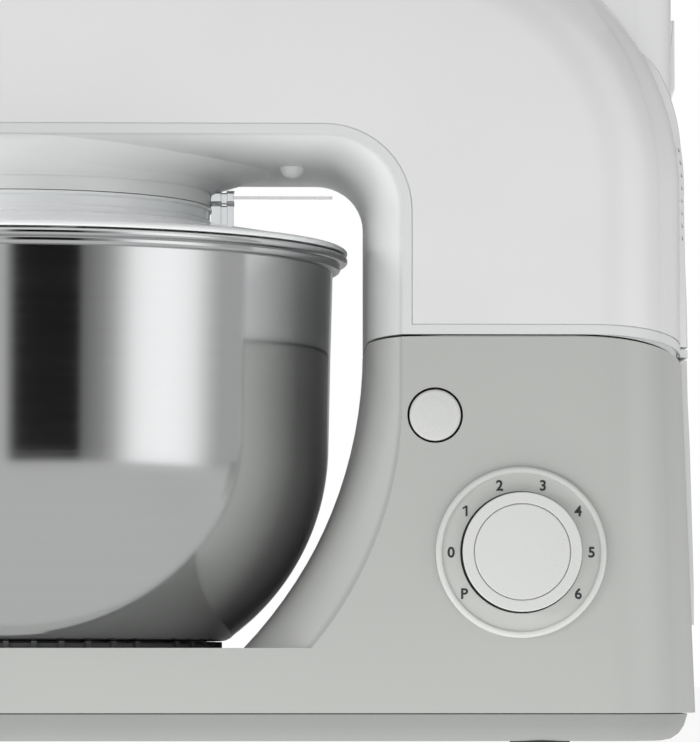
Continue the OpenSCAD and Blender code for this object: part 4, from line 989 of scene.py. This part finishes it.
glow_at = [(-180, 0.25), (-125, 0.25), (-110, 0.56), (-3.2, 0.62), (-2.2, 0.38), (0.5, 0.04), (3.0, 0.015),
           (22.6, 0.012), (24.4, 0.20), (27.5, 0.27), (31.5, 0.36), (35.5, 0.55), (39.5, 0.88), (43.5, 1.22),
           (47.5, 1.36), (55.5, 1.43), (63.5, 1.34), (67.5, 1.20), (71.5, 0.92), (75.5, 0.66), (79.5, 0.52),
           (112, 0.52), (126, 0.62), (180, 0.30)]
wall_r, wall_low, wall_high = 2.9, -1.6, 2.6
across = np.linspace(-180, 180, 721)
ring = wall_r * np.stack([np.sin(np.radians(across)), -np.cos(np.radians(across))], 1)
i = np.arange(len(across) - 1)
upper = i + len(across)
wall = np.concatenate([np.c_[ring, np.full(len(ring), height)] for height in (wall_low, wall_high)])
wall_glow = np.tile(np.interp(across, *zip(*glow_at)), 2)
glowing("studio_wall", wall, np.stack([i, i + 1, upper + 1, upper], 1), wall_glow)

# The table ends a little in front of the machine and dims towards the bright part of the wall
table_r = 0.62
turn, r = np.meshgrid(np.radians(np.arange(0, 360, 4)), np.linspace(0.02, table_r, 24))
toward = np.degrees((turn + np.pi) % (2 * np.pi) - np.pi)
table_glow = 0.66 - 0.08 * np.exp(-((toward - 48) / 16) ** 2) * (r / table_r) ** 1.5
table = np.stack([r * np.sin(turn), -r * np.cos(turn), np.full(r.shape, 0.0004)], -1)
glowing("studio_table", table.reshape(-1, 3), grid(*r.shape, False), table_glow.ravel())
print("wall and table for reflections")

# %% [markdown]
# ## Sky
# The camera, clear parts and reflections see a white sky. Everything else is lit by a quieter one.

# %% Sky
world = bpy.data.worlds.new("sky")
bpy.context.scene.world = world
world.use_nodes = True
tree = world.node_tree
quiet, path = tree.nodes["Background"], tree.nodes.new("ShaderNodeLightPath")
quiet.inputs[0].default_value, quiet.inputs[1].default_value = rgb(1.0), 0.45
bright, blend = tree.nodes.new("ShaderNodeBackground"), tree.nodes.new("ShaderNodeMixShader")
bright.inputs[0].default_value = rgb(1.0)
either, seen = tree.nodes.new("ShaderNodeMath"), tree.nodes.new("ShaderNodeMath")
either.operation = seen.operation = "MAXIMUM"
for start, end in ((path.outputs["Is Transmission Ray"], either.inputs[0]),
                   (path.outputs["Is Glossy Ray"], either.inputs[1]),
                   (path.outputs["Is Camera Ray"], seen.inputs[0]), (either.outputs[0], seen.inputs[1]),
                   (seen.outputs[0], blend.inputs[0]),
                   (quiet.outputs[0], blend.inputs[1]), (bright.outputs[0], blend.inputs[2]),
                   (blend.outputs[0], tree.nodes["World Output"].inputs[0])):
    tree.links.new(start, end)
print("sky: quiet for diffuse light, white for the rest")

# %% [markdown]
# ## Lamps
# Six soft rectangles light the machine, so that a colour shows about as it is written. None of them is seen
# in a reflection, because the wall and the table stand in for them there.


# %% Lamps
def aim(piece, target):
    """Turns a lamp or camera so that its own -Z looks at target."""
    way = Vector(target) - Vector(piece.location)
    piece.rotation_euler = way.to_track_quat("-Z", "Y").to_euler()


def lamp(name, place, target, size, power):
    """A rectangular lamp at place that looks at target."""
    light = bpy.data.lights.new(name, "AREA")
    light.shape, light.size, light.size_y, light.energy = "RECTANGLE", size[0], size[1], power
    piece = linked(name, light)
    piece.location = place
    aim(piece, target)
    piece.visible_glossy = piece.visible_camera = piece.visible_transmission = False


lamp("key", (0.9, -1.6, 1.7), (0.05, 0, 0.15), (1.2, 1.2), 2.0)
lamp("low_front", (-0.3, -2.2, 0.25), (0.05, 0, 0.25), (2.4, 0.2), 0.6)
lamp("left", (-1.5, -1.25, 0.22), (0.0, 0, 0.17), (0.6, 0.4), 7.9)
lamp("column", (-1.9, -0.45, 0.6), (0.1, -0.05, 0.2), (0.4, 0.4), 9)
lamp("right", (1.9, -0.9, 0.8), (0.05, 0, 0.2), (0.8, 0.8), 2.1)
lamp("top", (0.1, 0.3, 2.2), (0.05, 0, 0.2), (1.6, 1.6), 6)

# %% [markdown]
# ## Camera
# The camera stands low in front of the machine's side, with a long lens over a sensor 36 mm high. It looks a
# little to the right and clearly upwards, so that the column fills the picture.

# %% Camera
sensor, lens = 36.0, 222.8895
distance, eye_z = 1.74, 0.027
target_right, target_up = 0.037876, 0.113661
camera = linked("camera", bpy.data.cameras.new("camera"))
bpy.context.scene.camera = camera
camera.location = (bowl_x + 0.088, side_y + 0.08 - distance, eye_z)
camera.data.sensor_fit, camera.data.sensor_height = "VERTICAL", sensor
camera.data.lens = lens
camera.data.clip_start, camera.data.clip_end = 0.05, 30.0
aim(camera, (camera.location[0] + target_right, 0.0, eye_z + target_up))
bpy.context.scene.view_settings.view_transform = "Standard"
print("camera at", tuple(round(v, 3) for v in camera.location))

# %% [markdown]
# ## The last update
# The view layer is updated once more at the end.

# %% Last update
bpy.context.view_layer.update()
